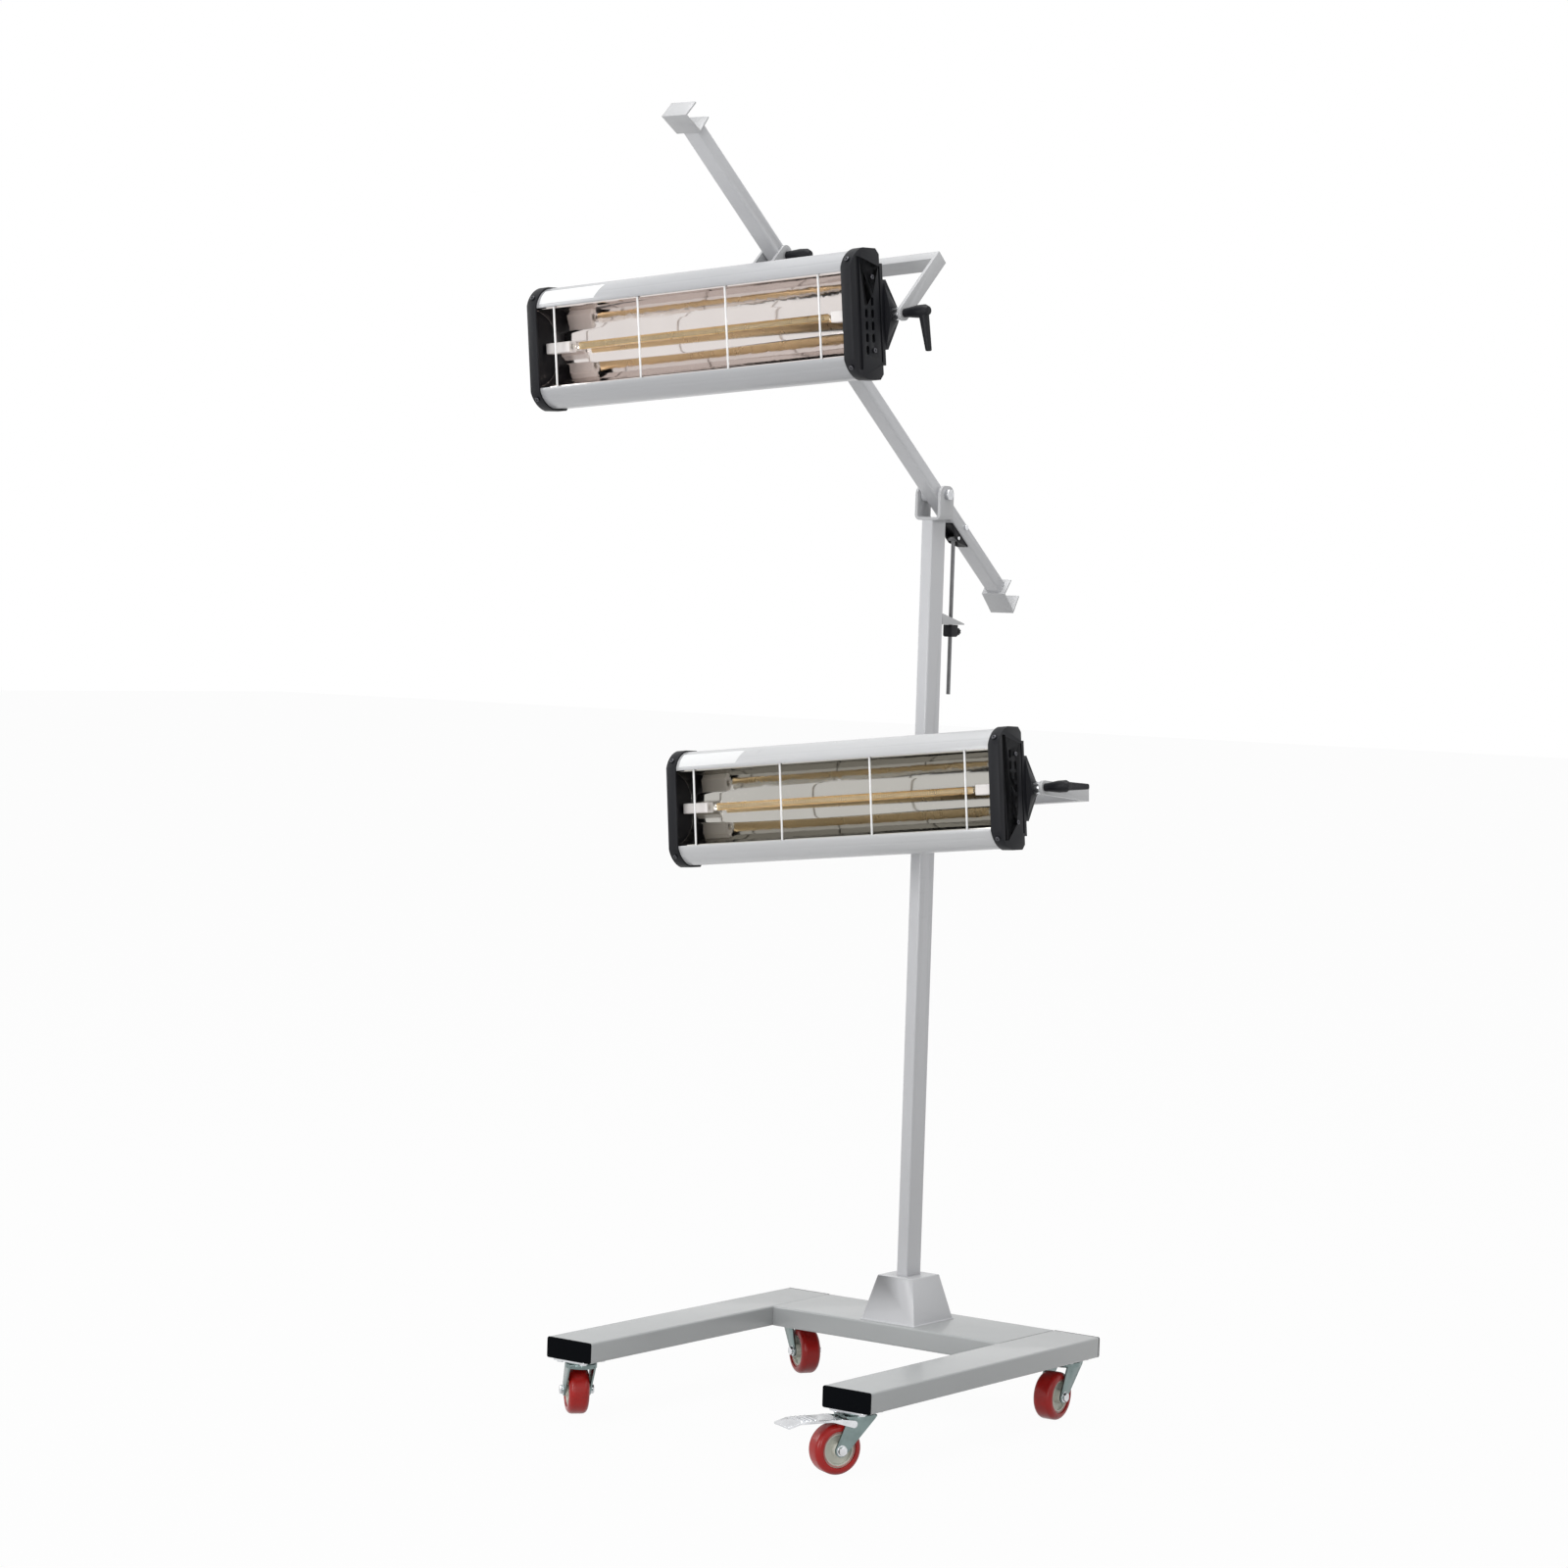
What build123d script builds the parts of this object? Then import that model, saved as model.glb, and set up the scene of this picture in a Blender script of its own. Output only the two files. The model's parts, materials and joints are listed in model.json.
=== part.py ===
from build123d import *
from math import cos, radians, sin, sqrt
import os

# Infrared curing lamp on a wheeled stand, two lamp heads.
# +Z is up, the heads face -Y, +X runs along the rear cross tube.
# While it is modelled, the origin lies on the floor under the axis of the post.
# The finished pieces are then moved along X and Y, so that the origin of the
# whole lamp lies on the floor under the middle of its outer box.

os.makedirs("parts", exist_ok=True)

# General clearances
running_gap = 0.3
shaft_clearance = 0.05
slip_fit = 0.2
overrun = 5.0

# Base frame
stance_width = 568.0
leg_width = 80.0
leg_height = 30.0
leg_front = 495.0
leg_rear = 87.0
tube_wall = 2.5
tube_corner = 3.0
cross_depth = 148.0
cap_plate = 3.0
cap_plug = 14.0
cap_edge = 1.0
caster_height = 87.0

# Socket and post
socket_base_x = 95.0
socket_base_y = 101.0
socket_top_x = 63.0
socket_top_y = 68.0
socket_height = 67.0
post_x = 19.0
post_y = 37.0
post_wall = 2.0
post_corner = 2.5

# Clevis on the post
clevis_sheet = 4.5
clevis_depth = 35.0
clevis_bend = 8.0
clevis_outer = 45.0
clevis_end = 13.0
arm_pivot_height = 1344.0
pivot_over_post = 38.0
post_top = arm_pivot_height - pivot_over_post
pivot_bolt_diameter = 10.0
hex_across = 15.0
hex_height = 6.5
hex_chamfer = 0.8

# Arm
arm_rise = 37.73
arm_x = 25.0
arm_deep = 20.0
arm_wall = 2.0
arm_corner = 3.0
arm_front = 766.0
arm_rear = 217.0
arm_hub_diameter = 20.0

# Cable hooks at the ends of the arm
hook_width = 41.0
hook_sheet = 2.5
hook_back = 27.0
hook_floor = 38.0
hook_lip = 28.0
hook_splay = 8.0
hook_head_diameter = 9.0
hook_head_height = 3.0

# Channel that carries the stay rod under the arm
channel_start = 53.0
channel_length = 54.0
channel_width = 19.0
channel_sheet = 2.0
channel_deep = 11.5
channel_pin_along = 80.0
channel_pin_below = 17.0
channel_pin_diameter = 4.0
channel_pin_head = 5.4
channel_bolt_above = 3.5
channel_bolt_diameter = 5.0
small_head_diameter = 8.0
small_head_height = 3.0

# Stay rod
rod_diameter = 6.0
rod_drop = 295.0
rod_bottom = arm_pivot_height - rod_drop
rod_eye_diameter = 9.0

# Bracket and clamp on the rear of the post
shelf_drop = 191.0
shelf_rise = 16.0
shelf_web = 2.0
shelf_floor = arm_pivot_height - shelf_drop
shelf_top = shelf_floor + shelf_rise
shelf_tip_height = shelf_floor + shelf_web
shelf_width = 20.0
shelf_tip_width = 16.0
shelf_reach = 78.0
shelf_flange = 2.0
block_x = 16.0
block_front = 8.5
block_rear = 9.5
block_height = 18.0
rod_travel_front = 12.0
rod_travel_rear = 19.0
bore_play_front = 2.6
bore_play_rear = 0.6
clamp_screw_diameter = 5.0
clamp_screw_below = 10.0
clamp_stem = 4.0
clamp_knob_diameter = 11.0
clamp_knob_length = 7.0
clamp_knob_groove = 1.8
clamp_knob_grooves = 8

# Casters
caster_inset = 29.5
caster_trail = 35.0
wheel_diameter = 70.0
tread_width = 30.0
tread_corner = 8.0
hub_diameter = 50.0
hub_width = 25.0
hub_recess_diameter = 40.0
hub_recess_depth = 5.0
hub_boss_diameter = 20.0
axle_diameter = 8.0
axle_head_diameter = 12.0
axle_head_height = 3.5
fork_sheet = 2.5
fork_gap = 34.0
fork_eye_diameter = 18.0
fork_front = 28.0
fork_rear = 20.0
crown_diameter = 46.0
crown_height = 6.0
caster_plate_size = 58.0
caster_plate_sheet = 2.5
race_diameter = 34.0
race_height = 3.7
kingpin_diameter = 10.0
kingpin_head_diameter = 16.0
kingpin_head_height = 1.8
plate_screw_pitch = 42.0
plate_screw_diameter = 6.0
plate_screw_head = 10.0
plate_screw_head_height = 2.5
headings = {"front_left": 138.0, "front_right": 245.0, "rear_left": -33.0, "rear_right": -87.0}

# Brake pedal of the front right caster
pedal_start = 36.0
pedal_pin_along = 18.0
pedal_pin_height = 70.5
pedal_pin_diameter = 5.0
pedal_cheek = 2.5
pedal_cheek_end = 5.0
pedal_cheek_reach = 50.0
pedal_sheet = 3.0
pedal_tip_along = 118.0
pedal_tip_length = 18.0
pedal_tip_drop = 5.0
pedal_width = 42.0
pedal_ridge = 1.6
pedal_ridge_pitch = 7.0
pedal_ridge_count = 4
pedal_floor_height = 75.0

# Lamp head, measured from its front face
head_length = 583.0
cap_width = 16.7
cap_wall = 2.3
cap_side = 4.0
front_half = 60.0
crest_half = 86.3
curve_depth = 10.0
curve_half = 76.5
crest_start = 28.0
crest_end = 54.0
shoulder_start = 61.0
shoulder_top = 79.0
shoulder_half = 67.0
back_start = 67.0
back_half = 46.0
back_end = 73.0
lug_half = 9.0
lug_end = 97.0
pivot_depth = 77.0
lug_out = 9.0
lug_base_start = 69.5
lug_base_half = 42.0
opening_half = 55.6
housing_sheet = 1.5
groove_depth = 2.4
groove_start = 11.0
groove_width = 8.0
groove_half = 74.0
rib_start = 58.0
rib_width = 3.0
rib_half = 63.0
vent_start = 30.0
vent_width = 6.0
vent_pitch_y = 13.0
vent_height = 12.0
vent_pitch = 16.0
vent_rows = 7
cap_screw_diameter = 3.0
cap_screw_head = 6.5
cap_screw_height = 2.0
cap_screw_length = 7.0
rim_screw_share = 0.28

# Reflector, lamp tube, holders and wire guard
reflector_sheet = 1.0
reflector_back = 50.0
reflector_floor_half = 20.0
reflector_flange = 6.0
reflector_bow = 8.0
reflector_end_gap = 2.0
lamp_diameter = 11.0
lamp_depth = 31.0
pinch_length = 14.0
pinch_diameter = 7.0
holder_size = 15.0
holder_length = 44.0
holder_foot = 9.0
holder_gap = 7.5
holder_corner = 1.6
wire_diameter = 3.0
wire_places = (-245.0, -88.0, 70.0, 232.0)

# Yoke round each head
yoke_sheet = 5.0
yoke_flat = 20.0
yoke_inner = 626.0
spine_reach = 109.0
spine_deep = 15.0
spine_wall = 2.0
tilt_bolt_diameter = 8.0
tilt_spacer_diameter = 17.0
tilt_nut_across = 13.0
tilt_nut_height = 6.5
tilt_stud_depth = 10.0
stud_grip = 15.0

# Bracket between a yoke and its tube
web_sheet = 5.0
ear_sheet = 4.0
ear_width = 30.0
ear_end = 13.0
tube_reach = 168.0
swivel_bolt_diameter = 8.0
swivel_head_across = 13.0
swivel_head_height = 5.5
cross_bolt_diameter = 8.0
cross_nut_height = 6.5

# Clamping levers
hub_neck_diameter = 11.0
hub_full_diameter = 17.0
hub_cone = 22.0
hub_length = 40.0
handle_length = 53.0
handle_root = 13.0
handle_tip = 8.0
handle_root_thick = 12.0
handle_tip_thick = 7.0
handle_slant = 6.0
handle_root_corner = 4.0
handle_tip_corner = 2.6
handle_end_round = 2.0

# Poses of the two heads
upper_along_arm = 513.0
lower_height = 879.0
upper_reach_angle = 44.0
lower_reach_angle = -5.9
upper_swivel = 5.0
lower_swivel = 6.15
upper_level = 2.3
lower_level = -2.0

# Places that follow from the sizes above
base_top = caster_height + leg_height
leg_length = leg_front + leg_rear
leg_x = (stance_width - leg_width) / 2
cross_middle = leg_rear - cross_depth / 2
cross_length = stance_width - 2 * leg_width
half_head = head_length / 2
bore_of = 2 * shaft_clearance

front_axis = Vector(0, -cos(radians(arm_rise)), sin(radians(arm_rise)))
arm_plane = Plane((0, 0, arm_pivot_height), x_dir=(1, 0, 0), z_dir=front_axis)
rod_top = arm_plane.from_local_coords(Vector(0, -channel_pin_below, -channel_pin_along))


placed_pieces = {}


def hand_in(piece, name, *frames):
    """Places a finished piece in one or more frames under its own name."""
    with BuildPart(*frames) as placed:
        add(piece)
    placed_pieces[name] = placed.part


# Legs and cross tube, open tubes with rounded corners
with BuildPart() as leg_tube:
    with BuildSketch(Plane.XZ.offset(leg_front - cap_plate)) as section:
        RectangleRounded(leg_width, leg_height, tube_corner)
        RectangleRounded(leg_width - 2 * tube_wall, leg_height - 2 * tube_wall,
                         tube_corner - tube_wall / 2, mode=Mode.SUBTRACT)
    extrude(amount=-(leg_length - 2 * cap_plate))

tube_middle = caster_height + leg_height / 2
hand_in(leg_tube.part, "base_leg_left", Plane((-leg_x, 0, tube_middle)))
hand_in(leg_tube.part, "base_leg_right", Plane((leg_x, 0, tube_middle)))

with BuildPart() as base_cross_tube:
    with BuildSketch(Plane.YZ.offset(-cross_length / 2)) as section:
        with Locations((cross_middle, tube_middle)):
            RectangleRounded(cross_depth, leg_height, tube_corner)
            RectangleRounded(cross_depth - 2 * tube_wall, leg_height - 2 * tube_wall,
                             tube_corner - tube_wall / 2, mode=Mode.SUBTRACT)
    extrude(amount=cross_length)
hand_in(base_cross_tube.part, "base_cross_tube", Plane.XY)

# Plastic end caps, a plate with a plug that fits inside the tube
with BuildPart() as end_cap:
    with BuildSketch(Plane.XZ):
        RectangleRounded(leg_width, leg_height, tube_corner)
    extrude(amount=cap_plate)
    with BuildSketch(Plane.XZ):
        RectangleRounded(leg_width - 2 * (tube_wall + slip_fit),
                         leg_height - 2 * (tube_wall + slip_fit), tube_corner - tube_wall / 2)
    extrude(amount=-cap_plug)
    fillet(end_cap.faces().sort_by(Axis.Y)[0].edges(), cap_edge)
cap_front_y = -(leg_front - cap_plate)
cap_rear_y = leg_rear - cap_plate
hand_in(end_cap.part, "leg_end_caps",
        Plane((-leg_x, cap_front_y, tube_middle)),
        Plane((leg_x, cap_front_y, tube_middle)),
        Plane((-leg_x, cap_rear_y, tube_middle), x_dir=(-1, 0, 0)),
        Plane((leg_x, cap_rear_y, tube_middle), x_dir=(-1, 0, 0)))

# Post socket, a tapered foot with a well for the post
with BuildPart() as post_socket:
    with BuildSketch(Plane.XY.offset(base_top)):
        Rectangle(socket_base_x, socket_base_y)
    with BuildSketch(Plane.XY.offset(base_top + socket_height)):
        Rectangle(socket_top_x, socket_top_y)
    loft()
    fillet(post_socket.faces().sort_by(Axis.Z)[-1].edges(), tube_corner / 2)
    with BuildSketch(Plane.XY.offset(base_top)):
        Rectangle(post_x + 2 * slip_fit, post_y + 2 * slip_fit)
    extrude(amount=socket_height + overrun, mode=Mode.SUBTRACT)
hand_in(post_socket.part, "post_socket", Plane.XY)

# Post
with BuildPart() as post_tube:
    with BuildSketch(Plane.XY.offset(base_top)):
        RectangleRounded(post_x, post_y, post_corner)
        RectangleRounded(post_x - 2 * post_wall, post_y - 2 * post_wall,
                         post_corner - post_wall / 2, mode=Mode.SUBTRACT)
    extrude(amount=post_top - base_top)
    with Locations(Plane((0, 0, lower_height), x_dir=(0, 1, 0), z_dir=(1, 0, 0))):
        Hole((cross_bolt_diameter + bore_of) / 2)
hand_in(post_tube.part, "post_tube", Plane.XY)

# Clevis, a bent strap with two round-ended ears
ear_height = arm_pivot_height + clevis_end - post_top
with BuildPart() as arm_clevis:
    with BuildSketch(Plane.XZ.offset(-clevis_depth / 2)) as strap:
        with Locations((0, post_top + ear_height / 2)):
            Rectangle(clevis_outer, ear_height)
        fillet(strap.vertices().group_by(Axis.Y)[0], clevis_bend)
        with Locations((0, post_top + clevis_sheet + ear_height / 2)):
            RectangleRounded(clevis_outer - 2 * clevis_sheet, ear_height,
                             clevis_bend - clevis_sheet, mode=Mode.SUBTRACT)
        with Locations((0, post_top + ear_height)):
            Rectangle(clevis_outer - 2 * clevis_sheet, ear_height - 2 * clevis_sheet,
                      mode=Mode.SUBTRACT)
    extrude(amount=clevis_depth)
    ear_corners = arm_clevis.edges().filter_by(Axis.X).group_by(Axis.Z)[-1]
    fillet(ear_corners, clevis_end)
    with Locations(Plane((0, 0, arm_pivot_height), x_dir=(0, 1, 0), z_dir=(1, 0, 0))):
        Hole((pivot_bolt_diameter + bore_of) / 2)
hand_in(arm_clevis.part, "arm_clevis", Plane.XY)


def bolt_through(plane, diameter, grip, across, head, nut):
    """A hexagon bolt centred on a plane's axis, with a nut at its far end."""
    start = plane.offset(-grip / 2)
    finish = plane.offset(grip / 2)
    with BuildPart() as bolt:
        with BuildSketch(start.offset(-nut)):
            Circle(diameter / 2)
        extrude(amount=grip + nut)
        with BuildSketch(finish):
            RegularPolygon(across / sqrt(3), 6)
        extrude(amount=head)
        chamfer(bolt.faces().sort_by(plane_axis(plane))[-1].edges(), hex_chamfer)
        with BuildSketch(start):
            RegularPolygon(across / sqrt(3), 6)
            Circle(diameter / 2 + shaft_clearance, mode=Mode.SUBTRACT)
        extrude(amount=-nut)
    return bolt.part


def plane_axis(plane):
    """The axis that leaves a plane along its normal."""
    return Axis(plane.origin, plane.z_dir)


# Pivot bolt of the arm
pivot_plane = Plane((0, 0, arm_pivot_height), x_dir=(0, 1, 0), z_dir=(1, 0, 0))
hand_in(bolt_through(pivot_plane, pivot_bolt_diameter, clevis_outer, hex_across,
                     hex_height, hex_height), "arm_pivot_bolt", Plane.XY)

# Arm tube with its pivot hubs and cross holes
hub_span = clevis_outer - 2 * (clevis_sheet + running_gap)
with BuildPart() as arm_tube:
    with BuildSketch(arm_plane.offset(-arm_rear)):
        RectangleRounded(arm_x, arm_deep, arm_corner)
    extrude(amount=arm_front + arm_rear)
    with BuildSketch(arm_plane.offset(-arm_rear)):
        RectangleRounded(arm_x - 2 * arm_wall, arm_deep - 2 * arm_wall,
                         arm_corner - arm_wall / 2)
    extrude(amount=arm_front + arm_rear, mode=Mode.SUBTRACT)
    with BuildSketch(pivot_plane.offset(-hub_span / 2)):
        Circle(arm_hub_diameter / 2)
    extrude(amount=hub_span)
    with Locations(pivot_plane):
        Hole((pivot_bolt_diameter + bore_of) / 2)
    upper_bolt = arm_plane.from_local_coords(Vector(0, 0, upper_along_arm))
    with Locations(Plane(upper_bolt, x_dir=(0, 1, 0), z_dir=(1, 0, 0))):
        Hole((cross_bolt_diameter + bore_of) / 2)
    channel_bolt = arm_plane.from_local_coords(Vector(0, channel_bolt_above, -channel_pin_along))
    with Locations(Plane(channel_bolt, x_dir=(0, 1, 0), z_dir=(1, 0, 0))):
        Hole((channel_bolt_diameter + bore_of) / 2)
hand_in(arm_tube.part, "arm_tube", Plane.XY)

# Cable hook, a bent strip screwed across the end of the arm.
# Drawn in YZ: Y leaves the arm, Z points away from the arm's underside.
splay = radians(hook_splay)
floor_y = hook_floor * cos(splay)
floor_z = -hook_floor * sin(splay)
lip_y = floor_y - hook_lip * sin(splay)
lip_z = floor_z + hook_lip * cos(splay)
with BuildPart() as cable_hook:
    with BuildSketch(Plane.YZ.offset(-hook_width / 2)):
        with BuildLine():
            Polyline((hook_sheet / 2, hook_back), (hook_sheet / 2, 0),
                     (floor_y, floor_z), (lip_y, lip_z))
        trace(line_width=hook_sheet)
    extrude(amount=hook_width)
    with BuildSketch(Plane.XZ.offset(-hook_sheet)):
        with Locations((0, arm_deep / 2 + hook_sheet)):
            Circle(hook_head_diameter / 2)
    extrude(amount=-hook_head_height)
front_end = arm_plane.offset(arm_front)
rear_end = arm_plane.offset(-arm_rear)
hook_drop = -arm_deep / 2 - hook_sheet / 2
hand_in(cable_hook.part, "cable_hook_front",
        Plane(front_end.from_local_coords(Vector(0, hook_drop, 0)),
              x_dir=(-1, 0, 0), z_dir=arm_plane.y_dir))
hand_in(cable_hook.part, "cable_hook_rear",
        Plane(rear_end.from_local_coords(Vector(0, hook_drop, 0)),
              x_dir=(1, 0, 0), z_dir=arm_plane.y_dir))

# Channel under the arm, in the arm's own frame
under_arm = Plane(arm_plane.from_local_coords(Vector(0, -arm_deep / 2, -channel_start)),
                  x_dir=(1, 0, 0), z_dir=arm_plane.y_dir)
pin_y = channel_pin_along - channel_start
pin_z = -(channel_pin_below - arm_deep / 2)
with BuildPart() as rod_channel:
    with BuildSketch(Plane.YZ.offset(-channel_width / 2)):
        with BuildLine():
            Polyline((0, 0), (channel_length, 0), (channel_length, -channel_sheet),
                     (pin_y + channel_deep / 2, -channel_deep),
                     (pin_y - channel_deep / 2, -channel_deep), (0, -channel_sheet), close=True)
        make_face()
    extrude(amount=channel_width)
    with BuildSketch(Plane.XY.offset(-channel_sheet)):
        with Locations((0, channel_length / 2)):
            Rectangle(channel_width - 2 * channel_sheet, channel_length + overrun)
    extrude(amount=-channel_deep, mode=Mode.SUBTRACT)
    with Locations(Plane((0, pin_y, pin_z), x_dir=(0, 1, 0), z_dir=(1, 0, 0))):
        Hole((channel_pin_diameter + bore_of) / 2)
hand_in(rod_channel.part, "rod_channel", under_arm)

# Pin of the stay rod and the small cross bolt of the arm
pin_plane = Plane(rod_top, x_dir=(0, 1, 0), z_dir=(1, 0, 0))
bolt_plane = Plane(channel_bolt, x_dir=(0, 1, 0), z_dir=(1, 0, 0))
with BuildPart() as rod_channel_bolts:
    with BuildSketch(pin_plane.offset(-channel_width / 2)):
        Circle(channel_pin_diameter / 2)
    extrude(amount=channel_width)
    with BuildSketch(pin_plane.offset(channel_width / 2)):
        Circle(channel_pin_head / 2)
    extrude(amount=channel_sheet / 2)
    with BuildSketch(pin_plane.offset(-channel_width / 2)):
        Circle(channel_pin_head / 2)
    extrude(amount=-channel_sheet / 2)
    with BuildSketch(bolt_plane.offset(-arm_x / 2)):
        Circle(channel_bolt_diameter / 2)
    extrude(amount=arm_x)
    with BuildSketch(bolt_plane.offset(arm_x / 2)):
        Circle(small_head_diameter / 2)
    extrude(amount=small_head_height)
    with BuildSketch(bolt_plane.offset(-arm_x / 2)):
        Circle(small_head_diameter / 2)
    extrude(amount=-small_head_height)
hand_in(rod_channel_bolts.part, "rod_channel_bolts", Plane.XY)

# Stay rod with an eye at its top
eye_width = channel_width - 2 * (channel_sheet + running_gap)
with BuildPart() as stay_rod:
    with BuildSketch(Plane.XY.offset(rod_bottom)):
        with Locations((0, rod_top.Y)):
            Circle(rod_diameter / 2)
    extrude(amount=rod_top.Z - rod_bottom)
    with BuildSketch(pin_plane.offset(-eye_width / 2)):
        Circle(rod_eye_diameter / 2)
    extrude(amount=eye_width)
    with Locations(pin_plane):
        Hole((channel_pin_diameter + bore_of) / 2)
hand_in(stay_rod.part, "stay_rod", Plane.XY)

# Tapered channel on the rear of the post, with a slot for the rod
with BuildPart() as rod_bracket:
    with BuildSketch(Plane.XY.offset(shelf_floor)):
        with BuildLine():
            Polyline((-shelf_width / 2, post_y / 2), (shelf_width / 2, post_y / 2),
                     (shelf_tip_width / 2, shelf_reach), (-shelf_tip_width / 2, shelf_reach),
                     close=True)
        make_face()
    extrude(amount=shelf_top - shelf_floor)
    with BuildSketch(Plane.YZ.offset(-shelf_width)):
        with BuildLine():
            Polyline((post_y / 2, shelf_top), (shelf_reach, shelf_tip_height),
                     (shelf_reach + overrun, shelf_top), (shelf_reach, shelf_top + overrun),
                     (post_y / 2, shelf_top + overrun), close=True)
        make_face()
    extrude(amount=2 * shelf_width, mode=Mode.SUBTRACT)
    with BuildSketch(Plane.XY.offset(shelf_floor + shelf_web)):
        with BuildLine():
            Polyline((-shelf_width / 2 + shelf_flange, post_y / 2 + shelf_flange),
                     (shelf_width / 2 - shelf_flange, post_y / 2 + shelf_flange),
                     (shelf_tip_width / 2 - shelf_flange, shelf_reach + overrun),
                     (-shelf_tip_width / 2 + shelf_flange, shelf_reach + overrun), close=True)
        make_face()
    extrude(amount=shelf_top - shelf_floor, mode=Mode.SUBTRACT)
    slot_width = rod_diameter + 2 * running_gap
    slot_length = rod_travel_front + rod_travel_rear + rod_diameter + 2 * running_gap
    slot_middle = rod_top.Y + (rod_travel_rear - rod_travel_front) / 2
    with BuildSketch(Plane.XY.offset(shelf_floor)):
        with Locations((0, slot_middle)):
            SlotOverall(slot_length, slot_width, rotation=90)
    extrude(amount=shelf_web + overrun, mode=Mode.SUBTRACT)
hand_in(rod_bracket.part, "rod_bracket", Plane.XY)

# Clamp block under the bracket, its bore long enough for the arc of the rod
block_top = shelf_floor - running_gap
screw_z = block_top - clamp_screw_below
with BuildPart() as clamp_block:
    with BuildSketch(Plane.XY.offset(block_top)):
        with Locations((0, rod_top.Y + (block_rear - block_front) / 2)):
            RectangleRounded(block_x, block_front + block_rear, shelf_web)
    extrude(amount=-block_height)
    chamfer(clamp_block.faces().sort_by(Axis.Z)[0].edges(), shelf_web)
    bore_length = rod_diameter + bore_play_front + bore_play_rear
    with BuildSketch(Plane.XY.offset(block_top)):
        with Locations((0, rod_top.Y + (bore_play_rear - bore_play_front) / 2)):
            SlotOverall(bore_length, rod_diameter + 2 * running_gap, rotation=90)
    extrude(amount=-block_height, mode=Mode.SUBTRACT)
    block_rear_y = rod_top.Y + block_rear
    with BuildSketch(Plane.XZ.offset(-block_rear_y)):
        with Locations((0, screw_z)):
            Circle(clamp_screw_diameter / 2 + shaft_clearance)
    extrude(amount=block_rear, mode=Mode.SUBTRACT)
hand_in(clamp_block.part, "clamp_block", Plane.XY)

# Thumb screw of the clamp block
screw_tip_y = rod_top.Y + rod_diameter / 2 + bore_play_rear
knob_y = block_rear_y + clamp_stem
with BuildPart() as clamp_screw:
    with BuildSketch(Plane.XZ.offset(-screw_tip_y)):
        with Locations((0, screw_z)):
            Circle(clamp_screw_diameter / 2)
    extrude(amount=-(knob_y - screw_tip_y))
    with BuildSketch(Plane.XZ.offset(-knob_y)):
        with Locations((0, screw_z)):
            Circle(clamp_knob_diameter / 2)
    extrude(amount=-clamp_knob_length)
    with BuildSketch(Plane.XZ.offset(-knob_y)):
        with Locations((0, screw_z)):
            with PolarLocations(clamp_knob_diameter / 2, clamp_knob_grooves):
                Circle(clamp_knob_groove / 2)
    extrude(amount=-clamp_knob_length, mode=Mode.SUBTRACT)
hand_in(clamp_screw.part, "clamp_screw", Plane.XY)

# One caster in its own frame: X trails from the swivel axis, Z from the floor
axle_height = wheel_diameter / 2
plate_bottom = caster_height - caster_plate_sheet
race_bottom = plate_bottom - race_height
crown_top = race_bottom - running_gap
crown_bottom = crown_top - crown_height
with BuildPart() as caster_plate:
    with BuildSketch(Plane.XY.offset(plate_bottom)):
        RectangleRounded(caster_plate_size, caster_plate_size, tube_corner)
        with GridLocations(plate_screw_pitch, plate_screw_pitch, 2, 2):
            Circle(plate_screw_diameter / 2 + slip_fit, mode=Mode.SUBTRACT)
    extrude(amount=caster_plate_sheet)
    with BuildSketch(Plane.XY.offset(race_bottom)):
        Circle(race_diameter / 2)
    extrude(amount=race_height)
    pin_bottom = crown_bottom - running_gap - kingpin_head_height
    with BuildSketch(Plane.XY.offset(pin_bottom)):
        Circle(kingpin_diameter / 2)
    extrude(amount=race_bottom - pin_bottom)
    with BuildSketch(Plane.XY.offset(pin_bottom)):
        Circle(kingpin_head_diameter / 2)
    extrude(amount=kingpin_head_height)

with BuildPart() as plate_screws:
    with BuildSketch(Plane.XY.offset(plate_bottom)):
        with GridLocations(plate_screw_pitch, plate_screw_pitch, 2, 2):
            Circle(plate_screw_diameter / 2)
    extrude(amount=caster_plate_sheet)
    with BuildSketch(Plane.XY.offset(plate_bottom)):
        with GridLocations(plate_screw_pitch, plate_screw_pitch, 2, 2):
            Circle(plate_screw_head / 2)
    extrude(amount=-plate_screw_head_height)

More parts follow.
